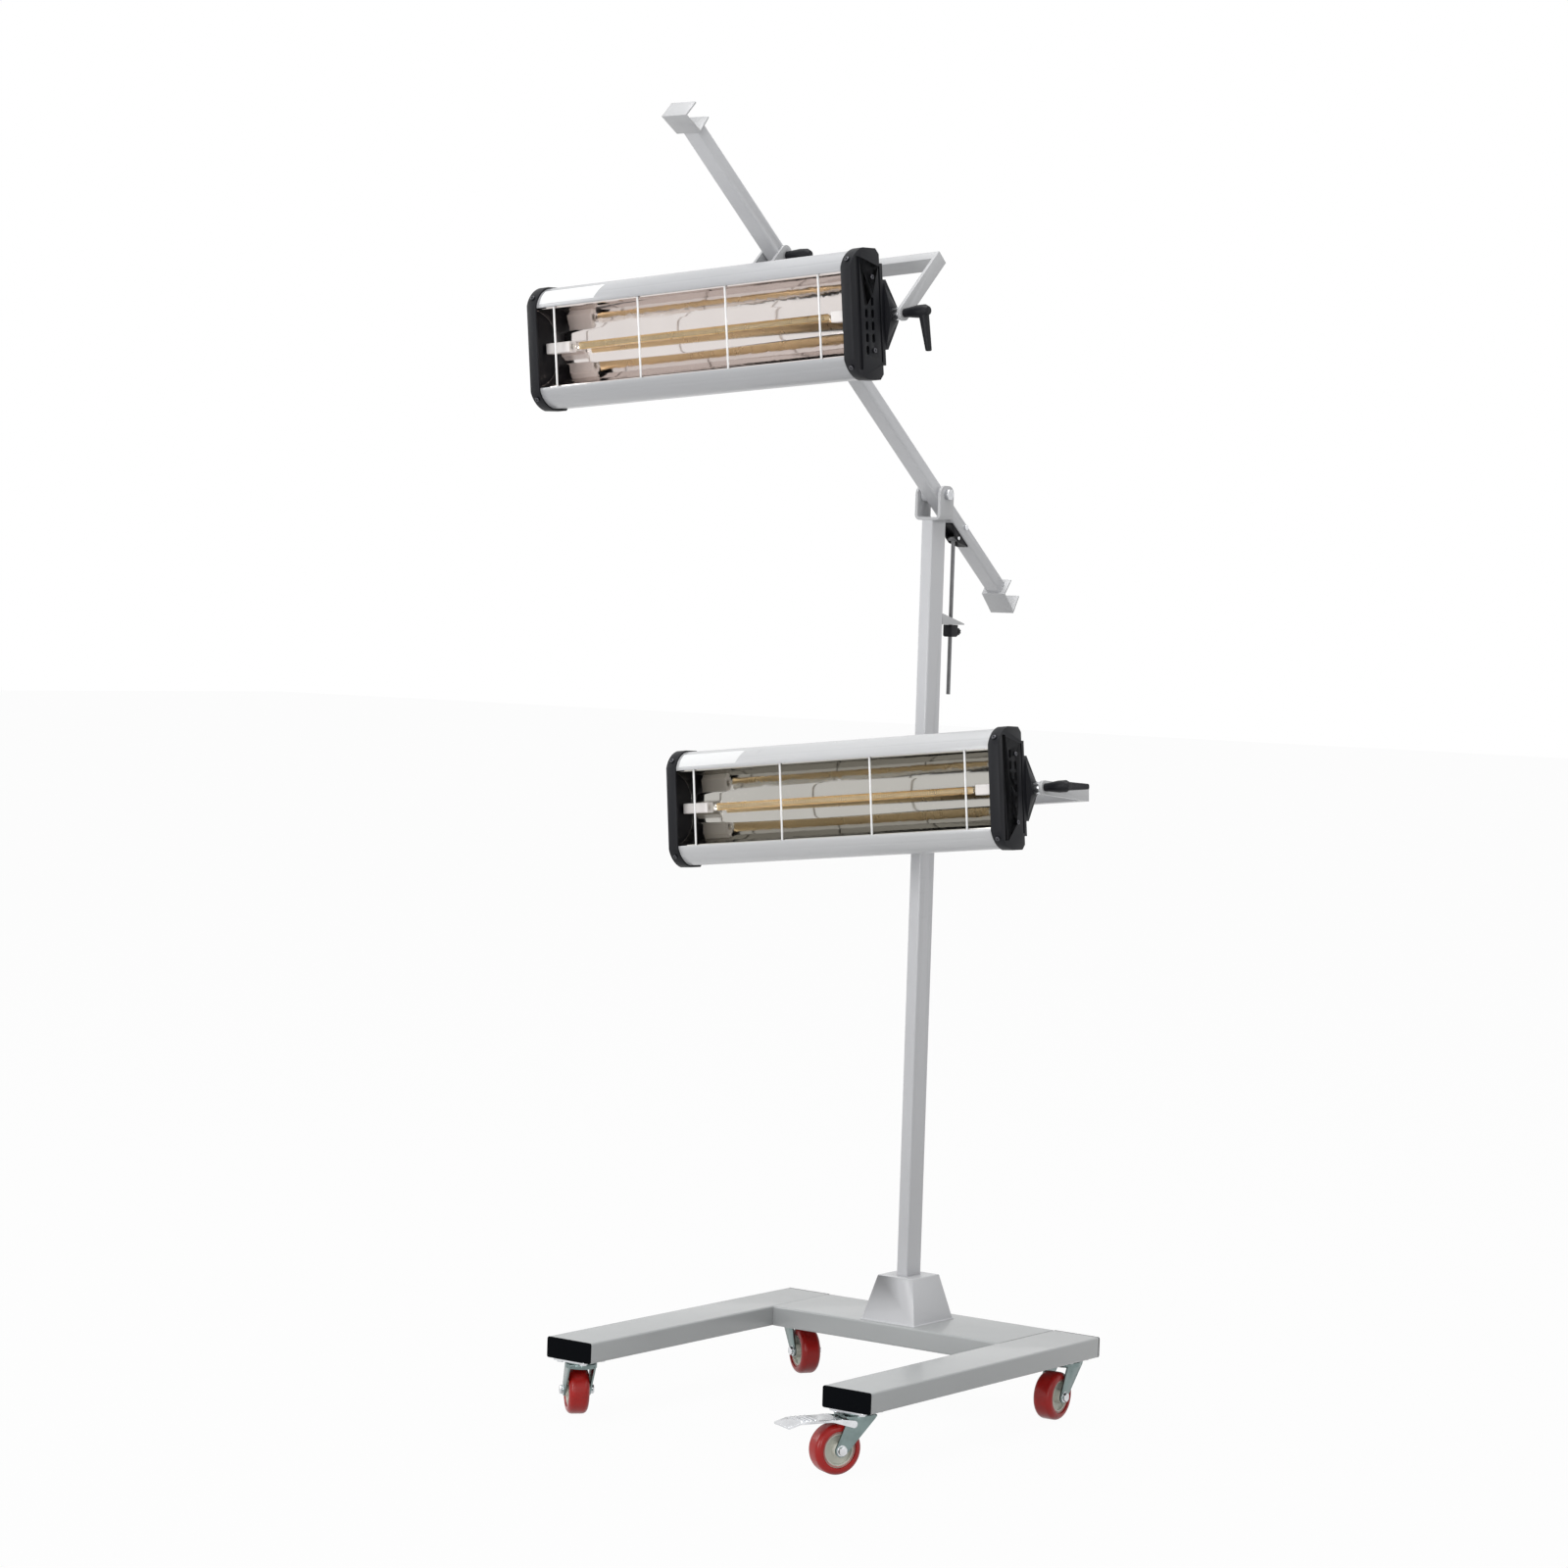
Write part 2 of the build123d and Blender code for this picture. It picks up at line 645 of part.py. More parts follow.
fork_outer = fork_gap + 2 * fork_sheet
web_bottom = crown_top - fork_sheet
with BuildPart() as caster_fork:
    with BuildSketch(Plane.XY.offset(crown_bottom)):
        Circle(crown_diameter / 2)
    extrude(amount=crown_height)
    with BuildSketch(Plane.XY.offset(web_bottom)):
        with Locations(((fork_front - fork_rear) / 2, 0)):
            RectangleRounded(fork_front + fork_rear, fork_outer, tube_corner)
    extrude(amount=fork_sheet)
    with BuildSketch(Plane.XZ.offset(fork_gap / 2), Plane.XZ.offset(-fork_outer / 2)):
        with Locations((caster_trail, axle_height)):
            Circle(fork_eye_diameter / 2)
        with Locations(((fork_front - fork_rear) / 2, web_bottom)):
            Rectangle(fork_front + fork_rear - 2 * tube_corner, fork_sheet)
        make_hull()
    extrude(amount=fork_sheet)
    with BuildSketch(Plane.XZ.offset(-fork_outer / 2)):
        with Locations((caster_trail, axle_height)):
            Circle(axle_diameter / 2)
    extrude(amount=fork_outer)
    with BuildSketch(Plane.XZ.offset(fork_outer / 2), Plane.XZ.offset(-fork_outer / 2 - axle_head_height)):
        with Locations((caster_trail, axle_height)):
            Circle(axle_head_diameter / 2)
    extrude(amount=axle_head_height)
    with BuildSketch(Plane.XY.offset(crown_bottom)):
        Circle((kingpin_diameter + bore_of) / 2)
    extrude(amount=crown_height, mode=Mode.SUBTRACT)

with BuildPart() as braked_fork:
    add(caster_fork.part)
    with BuildSketch(Plane.XZ.offset(-fork_outer / 2)):
        with Locations((pedal_pin_along, pedal_pin_height)):
            Circle(pedal_pin_diameter / 2 + shaft_clearance)
    extrude(amount=fork_outer, mode=Mode.SUBTRACT)

with BuildPart() as caster_tread:
    with BuildSketch(Plane.XZ.offset(-tread_width / 2)):
        with Locations((caster_trail, axle_height)):
            Circle(wheel_diameter / 2)
    extrude(amount=tread_width)
    fillet(caster_tread.edges().filter_by(GeomType.CIRCLE), tread_corner)
    with BuildSketch(Plane.XZ.offset(-tread_width / 2)):
        with Locations((caster_trail, axle_height)):
            Circle(hub_diameter / 2)
    extrude(amount=tread_width, mode=Mode.SUBTRACT)

boss_width = fork_gap - 2 * running_gap
with BuildPart() as caster_hub:
    with BuildSketch(Plane.XZ.offset(-hub_width / 2)):
        with Locations((caster_trail, axle_height)):
            Circle(hub_diameter / 2)
    extrude(amount=hub_width)
    with BuildSketch(Plane.XZ.offset(hub_width / 2 - hub_recess_depth),
                     Plane.XZ.offset(-hub_width / 2)):
        with Locations((caster_trail, axle_height)):
            Circle(hub_recess_diameter / 2)
    extrude(amount=hub_recess_depth, mode=Mode.SUBTRACT)
    with BuildSketch(Plane.XZ.offset(-boss_width / 2)):
        with Locations((caster_trail, axle_height)):
            Circle(hub_boss_diameter / 2)
    extrude(amount=boss_width)
    with BuildSketch(Plane.XZ.offset(-boss_width / 2)):
        with Locations((caster_trail, axle_height)):
            Circle(axle_diameter / 2 + shaft_clearance)
    extrude(amount=boss_width, mode=Mode.SUBTRACT)

caster_frames = {}
for corner, heading in headings.items():
    place_x = leg_x if corner.endswith("right") else -leg_x
    place_y = leg_rear - caster_inset if corner.startswith("rear") else caster_inset - leg_front
    turn = radians(heading)
    caster_frames[corner] = Plane((place_x, place_y, 0), x_dir=(cos(turn), sin(turn), 0))
    fork = braked_fork if corner == "front_right" else caster_fork
    hand_in(fork.part, "caster_fork_" + corner, caster_frames[corner])
    hand_in(caster_tread.part, "caster_tread_" + corner, caster_frames[corner])
    hand_in(caster_hub.part, "caster_hub_" + corner, caster_frames[corner])
plate_frames = [Plane(frame.origin) for frame in caster_frames.values()]
hand_in(caster_plate.part, "caster_plates", *plate_frames)
hand_in(plate_screws.part, "caster_plate_screws", *plate_frames)

# Brake pedal, hinged on a pin across the fork of the front right caster
pedal_middle = pedal_floor_height + pedal_sheet / 2
cheek_inner = fork_outer / 2 + running_gap
pin_span = 2 * (cheek_inner + pedal_cheek)
with BuildPart() as brake_pedal:
    with BuildSketch(Plane.XZ.offset(-pedal_width / 2)):
        with BuildLine():
            Polyline((pedal_start, pedal_middle), (pedal_tip_along - pedal_tip_length, pedal_middle),
                     (pedal_tip_along, pedal_middle - pedal_tip_drop))
        trace(line_width=pedal_sheet)
    extrude(amount=pedal_width)
    ridge_middle = (wheel_diameter + pedal_tip_along - pedal_tip_length) / 2
    with BuildSketch(Plane.XY.offset(pedal_middle)):
        with Locations((ridge_middle, 0)):
            with GridLocations(pedal_ridge_pitch, 0, pedal_ridge_count, 1):
                SlotOverall(pedal_width - pedal_ridge_pitch, pedal_ridge * 2, rotation=90)
    extrude(amount=pedal_sheet / 2 + pedal_ridge)
    with BuildSketch(Plane.XZ.offset(cheek_inner), Plane.XZ.offset(-cheek_inner - pedal_cheek)):
        with Locations((pedal_pin_along, pedal_pin_height)):
            Circle(pedal_cheek_end)
        with Locations(((pedal_start + pedal_cheek_reach) / 2, pedal_middle)):
            Rectangle(pedal_cheek_reach - pedal_start, pedal_sheet)
        make_hull()
    extrude(amount=pedal_cheek)
    with BuildSketch(Plane.XZ.offset(-pin_span / 2)):
        with Locations((pedal_pin_along, pedal_pin_height)):
            Circle(pedal_pin_diameter / 2)
    extrude(amount=pin_span)
hand_in(brake_pedal.part, "brake_pedal", caster_frames["front_right"])

# Lamp head, drawn about its tilt axis: X along the head, Y from front to back
front_y = -pivot_depth
cap_inner_x = half_head - cap_width
cap_side_x = half_head - cap_side
housing_half = cap_side_x - slip_fit


def head_outline(with_lug):
    """Half the outline of the head's end, mirrored and filled."""
    with BuildSketch() as outline:
        with BuildLine():
            Line((front_y, 0), (front_y, front_half))
            ThreePointArc((front_y, front_half), (front_y + curve_depth, curve_half),
                          (front_y + crest_start, crest_half))
            Polyline((front_y + crest_start, crest_half), (front_y + crest_end, crest_half),
                     (front_y + shoulder_start, shoulder_top),
                     (front_y + shoulder_start, shoulder_half),
                     (front_y + back_start, shoulder_half),
                     (front_y + back_start, back_half),
                     (front_y + back_end, back_half))
            if with_lug:
                Polyline((front_y + back_end, back_half), (front_y + lug_end, lug_half),
                         (front_y + lug_end, 0))
            else:
                Line((front_y + back_end, back_half), (front_y + back_end, 0))
            mirror(about=Plane.XZ)
        make_face()
    return outline.sketch


cap_outline = head_outline(True)
body_outline = head_outline(False)
housing_inset = cap_wall + slip_fit
rim_arc = Edge.make_three_point_arc(Vector(front_y, front_half),
                                    Vector(front_y + curve_depth, curve_half),
                                    Vector(front_y + crest_start, crest_half))
rim_point = rim_arc.position_at(rim_screw_share)
rim_way = rim_arc.tangent_at(rim_screw_share)
rim_x = half_head - cap_width / 2
rim_planes = [Plane((rim_x, rim_point.X, side * rim_point.Y), x_dir=(1, 0, 0),
                    z_dir=(0, -rim_way.Y, side * rim_way.X)) for side in (1, -1)]
screw_y = front_y + vent_start + vent_pitch_y
screw_row = vent_pitch * (vent_rows - 1) / 2
side_planes = [Plane((half_head, screw_y, side * screw_row), x_dir=(0, 1, 0),
                     z_dir=(1, 0, 0)) for side in (1, -1)]
cap_hole = cap_screw_diameter / 2 + slip_fit

# End cap of the +X end
with BuildPart() as cap_right:
    with BuildSketch(Plane.YZ.offset(cap_inner_x)):
        add(cap_outline)
    extrude(amount=cap_width)
    with BuildSketch(Plane.YZ.offset(cap_inner_x)):
        add(body_outline)
        offset(amount=-cap_wall, kind=Kind.INTERSECTION, mode=Mode.REPLACE)
    extrude(amount=cap_width - cap_side, mode=Mode.SUBTRACT)
    with BuildSketch(Plane.YZ.offset(half_head - groove_depth)):
        with Locations((front_y + groove_start + groove_width / 2, 0)):
            Rectangle(groove_width, 2 * groove_half)
        with Locations((front_y + rib_start + rib_width / 2, 0)):
            Rectangle(rib_width, 2 * rib_half)
    extrude(amount=groove_depth, mode=Mode.SUBTRACT)
    with BuildSketch(Plane.YZ.offset(cap_side_x)):
        with Locations((front_y + vent_start, 0)):
            with GridLocations(0, vent_pitch, 1, vent_rows):
                SlotOverall(vent_height, vent_width, rotation=90)
        with Locations((front_y + vent_start + vent_pitch_y, 0)):
            with GridLocations(0, vent_pitch, 1, vent_rows - 2):
                SlotOverall(vent_height, vent_width, rotation=90)
    extrude(amount=cap_side, mode=Mode.SUBTRACT)
    with BuildSketch(Plane.YZ.offset(half_head)):
        with BuildLine():
            Polyline((front_y + lug_base_start, lug_base_half),
                     (front_y + lug_end - cap_wall, lug_half),
                     (front_y + lug_end - cap_wall, -lug_half),
                     (front_y + lug_base_start, -lug_base_half), close=True)
        make_face()
    with BuildSketch(Plane.YZ.offset(half_head + lug_out)):
        with BuildLine():
            Polyline((-lug_half, lug_half), (lug_half, lug_half), (lug_half, -lug_half),
                     (-lug_half, -lug_half), close=True)
        make_face()
    loft(ruled=True)
    with Locations(Plane((half_head + lug_out, 0, 0), x_dir=(0, 1, 0), z_dir=(1, 0, 0))):
        Hole(tilt_bolt_diameter / 2 + shaft_clearance, depth=lug_out + tilt_stud_depth)
    for plane in rim_planes + side_planes:
        with Locations(plane):
            Hole(cap_hole, depth=cap_screw_length)

with BuildPart() as cap_left:
    add(cap_right.part)
    mirror(about=Plane.YZ, mode=Mode.REPLACE)

# Screws of both end caps
with BuildPart() as cap_screws:
    for plane in rim_planes + side_planes:
        with BuildSketch(plane.offset(slip_fit)):
            Circle(cap_screw_head / 2)
        extrude(amount=cap_screw_height)
        with BuildSketch(plane.offset(slip_fit)):
            Circle(cap_screw_diameter / 2)
        extrude(amount=-(cap_screw_length - slip_fit))
    mirror(about=Plane.YZ)

# Housing, a bent sheet trough open at the front
with BuildPart() as lamp_housing:
    with BuildSketch(Plane.YZ.offset(-housing_half)):
        add(body_outline)
        offset(amount=-housing_inset, kind=Kind.INTERSECTION, mode=Mode.REPLACE)
    extrude(amount=2 * housing_half)
    with BuildSketch(Plane.YZ.offset(-housing_half)):
        add(body_outline)
        offset(amount=-housing_inset - housing_sheet, kind=Kind.INTERSECTION, mode=Mode.REPLACE)
    extrude(amount=2 * housing_half, mode=Mode.SUBTRACT)
    with BuildSketch(Plane.XZ.offset(pivot_depth)):
        Rectangle(2 * housing_half, 2 * opening_half)
    extrude(amount=-(housing_inset + housing_sheet + overrun), mode=Mode.SUBTRACT)
    for plane in rim_planes:
        for placed_plane in (plane, Plane((-plane.origin.X, plane.origin.Y, plane.origin.Z),
                                          x_dir=(1, 0, 0), z_dir=plane.z_dir)):
            with Locations(placed_plane):
                Hole(cap_hole, depth=cap_screw_length)

# Wire guard, straight wires tucked behind the lips
lip_back = front_y + housing_inset + housing_sheet
wire_y = lip_back + wire_diameter / 2
wire_half = opening_half + wire_diameter / 2
with BuildPart() as lamp_guard_wires:
    with BuildSketch(Plane.XY.offset(-wire_half)):
        with Locations(*[(place, wire_y) for place in wire_places]):
            Circle(wire_diameter / 2)
    extrude(amount=2 * wire_half)

# Reflector, a bowed trough of thin sheet with closed ends
reflector_front = lip_back + wire_diameter + slip_fit + reflector_sheet / 2
reflector_rear = front_y + reflector_back
mouth_half = opening_half - reflector_sheet
trough_end = housing_half - reflector_end_gap


def trough_line():
    """The bent line of the reflector's section, its lower half mirrored."""
    with BuildLine() as line:
        Line((reflector_front, mouth_half + reflector_flange), (reflector_front, mouth_half))
        SagittaArc((reflector_front, mouth_half), (reflector_rear, reflector_floor_half),
                   reflector_bow)
        Line((reflector_rear, reflector_floor_half), (reflector_rear, 0))
        mirror(about=Plane.XZ)
    return line.line


with BuildPart() as lamp_reflector:
    with BuildSketch(Plane.YZ.offset(-trough_end)):
        with BuildLine():
            add(trough_line())
        trace(line_width=reflector_sheet)
    extrude(amount=2 * trough_end)
    with BuildSketch(Plane.YZ.offset(-trough_end), Plane.YZ.offset(trough_end - reflector_sheet)):
        with BuildLine():
            add(trough_line())
            Line((reflector_front, mouth_half + reflector_flange),
                 (reflector_front, -mouth_half - reflector_flange))
        make_face()
    extrude(amount=reflector_sheet)

# Quartz lamp tube with narrower pinched ends
lamp_y = front_y + lamp_depth
holder_start = cap_side_x - holder_gap - holder_length
lamp_half = holder_start + pinch_length / 2
lamp_start = Plane((-lamp_half, lamp_y, 0), x_dir=(0, 1, 0), z_dir=(1, 0, 0))
with BuildPart() as lamp_tube:
    with BuildSketch(lamp_start):
        Circle(pinch_diameter / 2)
    extrude(amount=2 * lamp_half)
    with BuildSketch(lamp_start.offset(pinch_length)):
        Circle(lamp_diameter / 2)
    extrude(amount=2 * (lamp_half - pinch_length))

# Ceramic holders with a foot on the floor of the reflector
foot_end = reflector_rear - reflector_sheet / 2
with BuildPart() as lamp_holders:
    with BuildSketch(Plane((holder_start, lamp_y, 0), x_dir=(0, 1, 0), z_dir=(1, 0, 0))):
        RectangleRounded(holder_size, holder_size, holder_corner)
    extrude(amount=holder_length)
    with BuildSketch(Plane((holder_start, lamp_y, 0), x_dir=(0, 1, 0), z_dir=(1, 0, 0))):
        with Locations(((foot_end - lamp_y) / 2, 0)):
            Rectangle(foot_end - lamp_y, holder_foot)
    extrude(amount=holder_length)
    with Locations(Plane((holder_start, lamp_y, 0), x_dir=(0, 1, 0), z_dir=(-1, 0, 0))):
        Hole(pinch_diameter / 2 + slip_fit, depth=pinch_length)
    mirror(about=Plane.YZ)

# Yoke, two flat arms joined by a tube behind the head
arm_far = yoke_inner / 2 + yoke_sheet
spine_back = spine_reach + spine_deep / 2
with BuildPart() as yoke:
    with BuildSketch(Plane.YZ.offset(yoke_inner / 2), Plane.YZ.offset(-arm_far)):
        Circle(yoke_flat / 2)
        with Locations((spine_back / 2, 0)):
            Rectangle(spine_back, yoke_flat)
        Circle(tilt_bolt_diameter / 2 + shaft_clearance, mode=Mode.SUBTRACT)
    extrude(amount=yoke_sheet)
    with BuildSketch(Plane.YZ.offset(-yoke_inner / 2)):
        with Locations((spine_reach, 0)):
            Rectangle(spine_deep, yoke_flat)
            Rectangle(spine_deep - 2 * spine_wall, yoke_flat - 2 * spine_wall,
                      mode=Mode.SUBTRACT)
    extrude(amount=yoke_inner)
    with Locations(Plane((0, spine_back, 0), x_dir=(1, 0, 0), z_dir=(0, 1, 0))):
        Hole(swivel_bolt_diameter / 2 + shaft_clearance, depth=spine_deep)

# Studs with their spacers, and the nut of the -X side
lug_face = half_head + lug_out
stud_start = half_head - tilt_stud_depth
spacer_end = yoke_inner / 2 - running_gap
nut_start = arm_far + running_gap
with BuildPart() as tilt_bolts:
    for plane, stud_end in ((Plane.YZ, nut_start + stud_grip),
                            (-Plane.YZ, nut_start + tilt_nut_height)):
        with BuildSketch(plane.offset(stud_start)):
            Circle(tilt_bolt_diameter / 2)
        extrude(amount=stud_end - stud_start)
        with BuildSketch(plane.offset(lug_face)):
            Circle(tilt_spacer_diameter / 2)
            Circle(tilt_bolt_diameter / 2 + shaft_clearance, mode=Mode.SUBTRACT)
        extrude(amount=spacer_end - lug_face)
    with BuildSketch((-Plane.YZ).offset(nut_start)):
        RegularPolygon(tilt_nut_across / sqrt(3), 6)
        Circle(tilt_bolt_diameter / 2 + shaft_clearance, mode=Mode.SUBTRACT)
    extrude(amount=tilt_nut_height)

# Clamping lever, its hub along X and its handle hanging along -Z
with BuildPart() as clamp_lever:
    with BuildSketch(Plane.XY):
        with BuildLine():
            Polyline((0, 0), (0, hub_neck_diameter / 2), (hub_cone, hub_full_diameter / 2),
                     (hub_length - hub_neck_diameter / 2, hub_full_diameter / 2),
                     (hub_length, hub_neck_diameter / 2), (hub_length, 0), close=True)
        make_face()
    revolve(axis=Axis.X)
    handle_x = (hub_cone + hub_length) / 2
    with BuildSketch(Plane((handle_x, 0, 0))):
        RectangleRounded(handle_root_thick, handle_root, handle_root_corner)
    with BuildSketch(Plane((handle_x + handle_slant, 0, -handle_length))):
        RectangleRounded(handle_tip_thick, handle_tip, handle_tip_corner)
    loft()
    fillet(clamp_lever.faces().sort_by(Axis.Z)[0].edges(), handle_end_round)
    with Locations(Plane((0, 0, 0), x_dir=(0, 1, 0), z_dir=(-1, 0, 0))):
        Hole(tilt_bolt_diameter / 2 + shaft_clearance, depth=stud_grip + shaft_clearance)


def bracket_piece(tube_width):
    """A strap with two ears that straddle a tube, Y pointing to the tube."""
    inner = tube_width / 2 + running_gap
    web_front = spine_back + running_gap - tube_reach
    with BuildPart() as bracket:
        with BuildSketch(Plane.XY.offset(-ear_width / 2)):
            with Locations((0, (web_front + ear_end) / 2)):
                Rectangle(2 * (inner + ear_sheet), ear_end - web_front)
            with Locations((0, web_front + web_sheet + (ear_end - web_front) / 2)):
                Rectangle(2 * inner, ear_end - web_front, mode=Mode.SUBTRACT)
        extrude(amount=ear_width)
        fillet(bracket.edges().filter_by(Axis.X).group_by(Axis.Y)[-1], ear_end)
        with Locations(Plane((0, 0, 0), x_dir=(0, 1, 0), z_dir=(1, 0, 0))):
            Hole(cross_bolt_diameter / 2 + shaft_clearance)
        with Locations(Plane((0, web_front, 0), x_dir=(1, 0, 0), z_dir=(0, -1, 0))):
            Hole(swivel_bolt_diameter / 2 + shaft_clearance, depth=web_sheet)
    return bracket.part


def bracket_bolt_set(tube_width):
    """The cross stud with its nut, and the swivel bolt with its nut."""
    ear_face = tube_width / 2 + running_gap + ear_sheet
    head_back = -(tube_reach - spine_reach + spine_deep / 2 + running_gap)
    web_back = spine_back + running_gap - tube_reach + web_sheet
    with BuildPart() as bolts:
        with BuildSketch(Plane.YZ.offset(-ear_face - cross_nut_height)):
            Circle(cross_bolt_diameter / 2)
        extrude(amount=2 * ear_face + cross_nut_height + running_gap + stud_grip)
        with BuildSketch(Plane.YZ.offset(-ear_face)):
            RegularPolygon(swivel_head_across / sqrt(3), 6)
            Circle(cross_bolt_diameter / 2 + shaft_clearance, mode=Mode.SUBTRACT)
        extrude(amount=-cross_nut_height)
        with BuildSketch(Plane.XZ.offset(-head_back)):
            Circle(swivel_bolt_diameter / 2)
        extrude(amount=head_back - web_back - cross_nut_height)
        with BuildSketch(Plane.XZ.offset(-head_back)):
            RegularPolygon(swivel_head_across / sqrt(3), 6)
        extrude(amount=swivel_head_height)
        with BuildSketch(Plane.XZ.offset(-web_back)):
            RegularPolygon(swivel_head_across / sqrt(3), 6)
            Circle(swivel_bolt_diameter / 2 + shaft_clearance, mode=Mode.SUBTRACT)
        extrude(amount=-cross_nut_height)
    return bolts.part


def turned_head(station, bolt_point, reach_angle, swivel, level, tube_width, lever_down):
    """Places one head with its yoke and bracket at a bolt through a tube."""
    reach = radians(reach_angle)
    bracket_frame = Plane(bolt_point, x_dir=(1, 0, 0), z_dir=(0, -sin(reach), cos(reach)))
    yoke_place = Location((0, -tube_reach, 0), (0, -swivel, 0))
    yoke_frame = Plane(bracket_frame.location * yoke_place)
    head_place = Location((0, 0, 0), (level - reach_angle, 0, 0))
    head_frame = Plane(yoke_frame.location * head_place)
    hand_in(bracket_piece(tube_width), station + "_bracket", bracket_frame)
    hand_in(bracket_bolt_set(tube_width), station + "_bracket_bolts", bracket_frame)
    ear_face = tube_width / 2 + ear_sheet + 2 * running_gap
    hand_in(clamp_lever.part, station + "_bracket_lever",
            Plane(bolt_point + Vector(ear_face, 0, 0)))
    hand_in(yoke.part, station + "_yoke", yoke_frame)
    hand_in(tilt_bolts.part, station + "_tilt_bolts", head_frame)
    lever_origin = head_frame.from_local_coords(Vector(nut_start, 0, 0))
    lever_up = head_frame.z_dir if lever_down else -head_frame.y_dir
    hand_in(clamp_lever.part, station + "_tilt_lever",
            Plane(lever_origin, x_dir=head_frame.x_dir, z_dir=lever_up))
    hand_in(lamp_housing.part, station + "_housing", head_frame)
    hand_in(cap_left.part, station + "_end_cap_left", head_frame)
    hand_in(cap_right.part, station + "_end_cap_right", head_frame)
    hand_in(cap_screws.part, station + "_cap_screws", head_frame)
    hand_in(lamp_reflector.part, station + "_reflector", head_frame)
    hand_in(lamp_tube.part, station + "_lamp", head_frame)
    hand_in(lamp_holders.part, station + "_lamp_holders", head_frame)
    hand_in(lamp_guard_wires.part, station + "_guard_wires", head_frame)
    print(station, "bolt", bolt_point, "pivot", yoke_frame.origin)
    print(station, "swivel axis", bracket_frame.y_dir, "tilt axis", head_frame.x_dir)
    print(station, "head depth axis", head_frame.y_dir, "head up axis", head_frame.z_dir)


turned_head("upper", upper_bolt, upper_reach_angle, upper_swivel, upper_level, arm_x, True)
turned_head("lower", Vector(0, 0, lower_height), lower_reach_angle, lower_swivel, lower_level,
            post_x, False)

# The origin goes under the middle of the whole lamp's box
boxes = [piece.bounding_box() for piece in placed_pieces.values()]
middle_x = (min(box.min.X for box in boxes) + max(box.max.X for box in boxes)) / 2
middle_y = (min(box.min.Y for box in boxes) + max(box.max.Y for box in boxes)) / 2
for name, piece in placed_pieces.items():
    with BuildPart(Plane((-middle_x, -middle_y, 0))) as settled:
        add(piece)
    settled.part.label = name
    export_step(settled.part, "parts/" + name + ".step")
print("the post stands at", -middle_x, -middle_y)
print("stay rod top", rod_top, "clamp screw height", screw_z)
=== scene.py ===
import json
import math

import bmesh
import bpy
from mathutils import Matrix, Vector

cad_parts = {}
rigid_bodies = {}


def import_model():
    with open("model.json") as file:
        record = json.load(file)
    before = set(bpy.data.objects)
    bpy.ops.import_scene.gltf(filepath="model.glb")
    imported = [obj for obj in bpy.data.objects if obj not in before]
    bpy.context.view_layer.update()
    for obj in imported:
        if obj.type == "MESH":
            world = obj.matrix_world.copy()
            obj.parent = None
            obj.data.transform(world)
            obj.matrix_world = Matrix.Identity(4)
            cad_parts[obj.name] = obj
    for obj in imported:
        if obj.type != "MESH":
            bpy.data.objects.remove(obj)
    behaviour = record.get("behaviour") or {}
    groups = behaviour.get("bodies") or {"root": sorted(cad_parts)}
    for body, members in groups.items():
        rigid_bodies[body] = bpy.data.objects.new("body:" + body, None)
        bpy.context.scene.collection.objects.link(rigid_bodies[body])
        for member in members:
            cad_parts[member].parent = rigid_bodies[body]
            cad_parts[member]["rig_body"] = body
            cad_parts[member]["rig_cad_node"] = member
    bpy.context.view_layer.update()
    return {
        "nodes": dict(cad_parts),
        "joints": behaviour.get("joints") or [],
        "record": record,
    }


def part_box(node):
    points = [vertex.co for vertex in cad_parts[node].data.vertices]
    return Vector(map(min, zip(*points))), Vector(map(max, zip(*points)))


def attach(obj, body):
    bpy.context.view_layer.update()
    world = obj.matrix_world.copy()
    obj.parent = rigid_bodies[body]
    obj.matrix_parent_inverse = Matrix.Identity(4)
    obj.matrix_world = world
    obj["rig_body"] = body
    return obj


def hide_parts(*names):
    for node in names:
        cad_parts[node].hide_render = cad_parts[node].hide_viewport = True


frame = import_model()
nodes = frame["nodes"]
joints = {joint["name"]: joint for joint in frame["joints"]}
cleanUp = {"merge": 0.00001, "flat": 0.6, "smooth": 40, "fineMerge": 0.000001}
noiseSpan = (0.3, 0.7)      # the part of a noise texture's range that is used
print("frame loaded:", len(nodes), "nodes")


# small helpers for working on one object at a time

def activate(piece):
    bpy.ops.object.select_all(action="DESELECT")
    piece.select_set(True)
    bpy.context.view_layer.objects.active = piece


def editAll():
    bpy.ops.object.mode_set(mode="EDIT")
    bpy.ops.mesh.select_all(action="SELECT")


def endEdit():
    bpy.ops.object.mode_set(mode="OBJECT")


def applyModifier(piece, name, kind, **settings):
    modifier = piece.modifiers.new(name, kind)
    for key, value in settings.items():
        setattr(modifier, key, value)
    activate(piece)
    bpy.ops.object.modifier_apply(modifier=modifier.name)


def smoothByAngle(piece, degrees):
    activate(piece)
    bpy.ops.object.shade_smooth_by_angle(angle=math.radians(degrees))


def dress(piece, material, body, replaced=()):
    piece.data.materials.clear()
    piece.data.materials.append(material)
    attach(piece, body)
    if replaced:
        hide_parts(*replaced)


def settle(piece, place):
    # the place goes into the mesh, and the object stays at the origin
    activate(piece)
    bpy.ops.object.transform_apply(location=True, rotation=True, scale=True)
    piece.data.transform(place)
    piece.data.update()


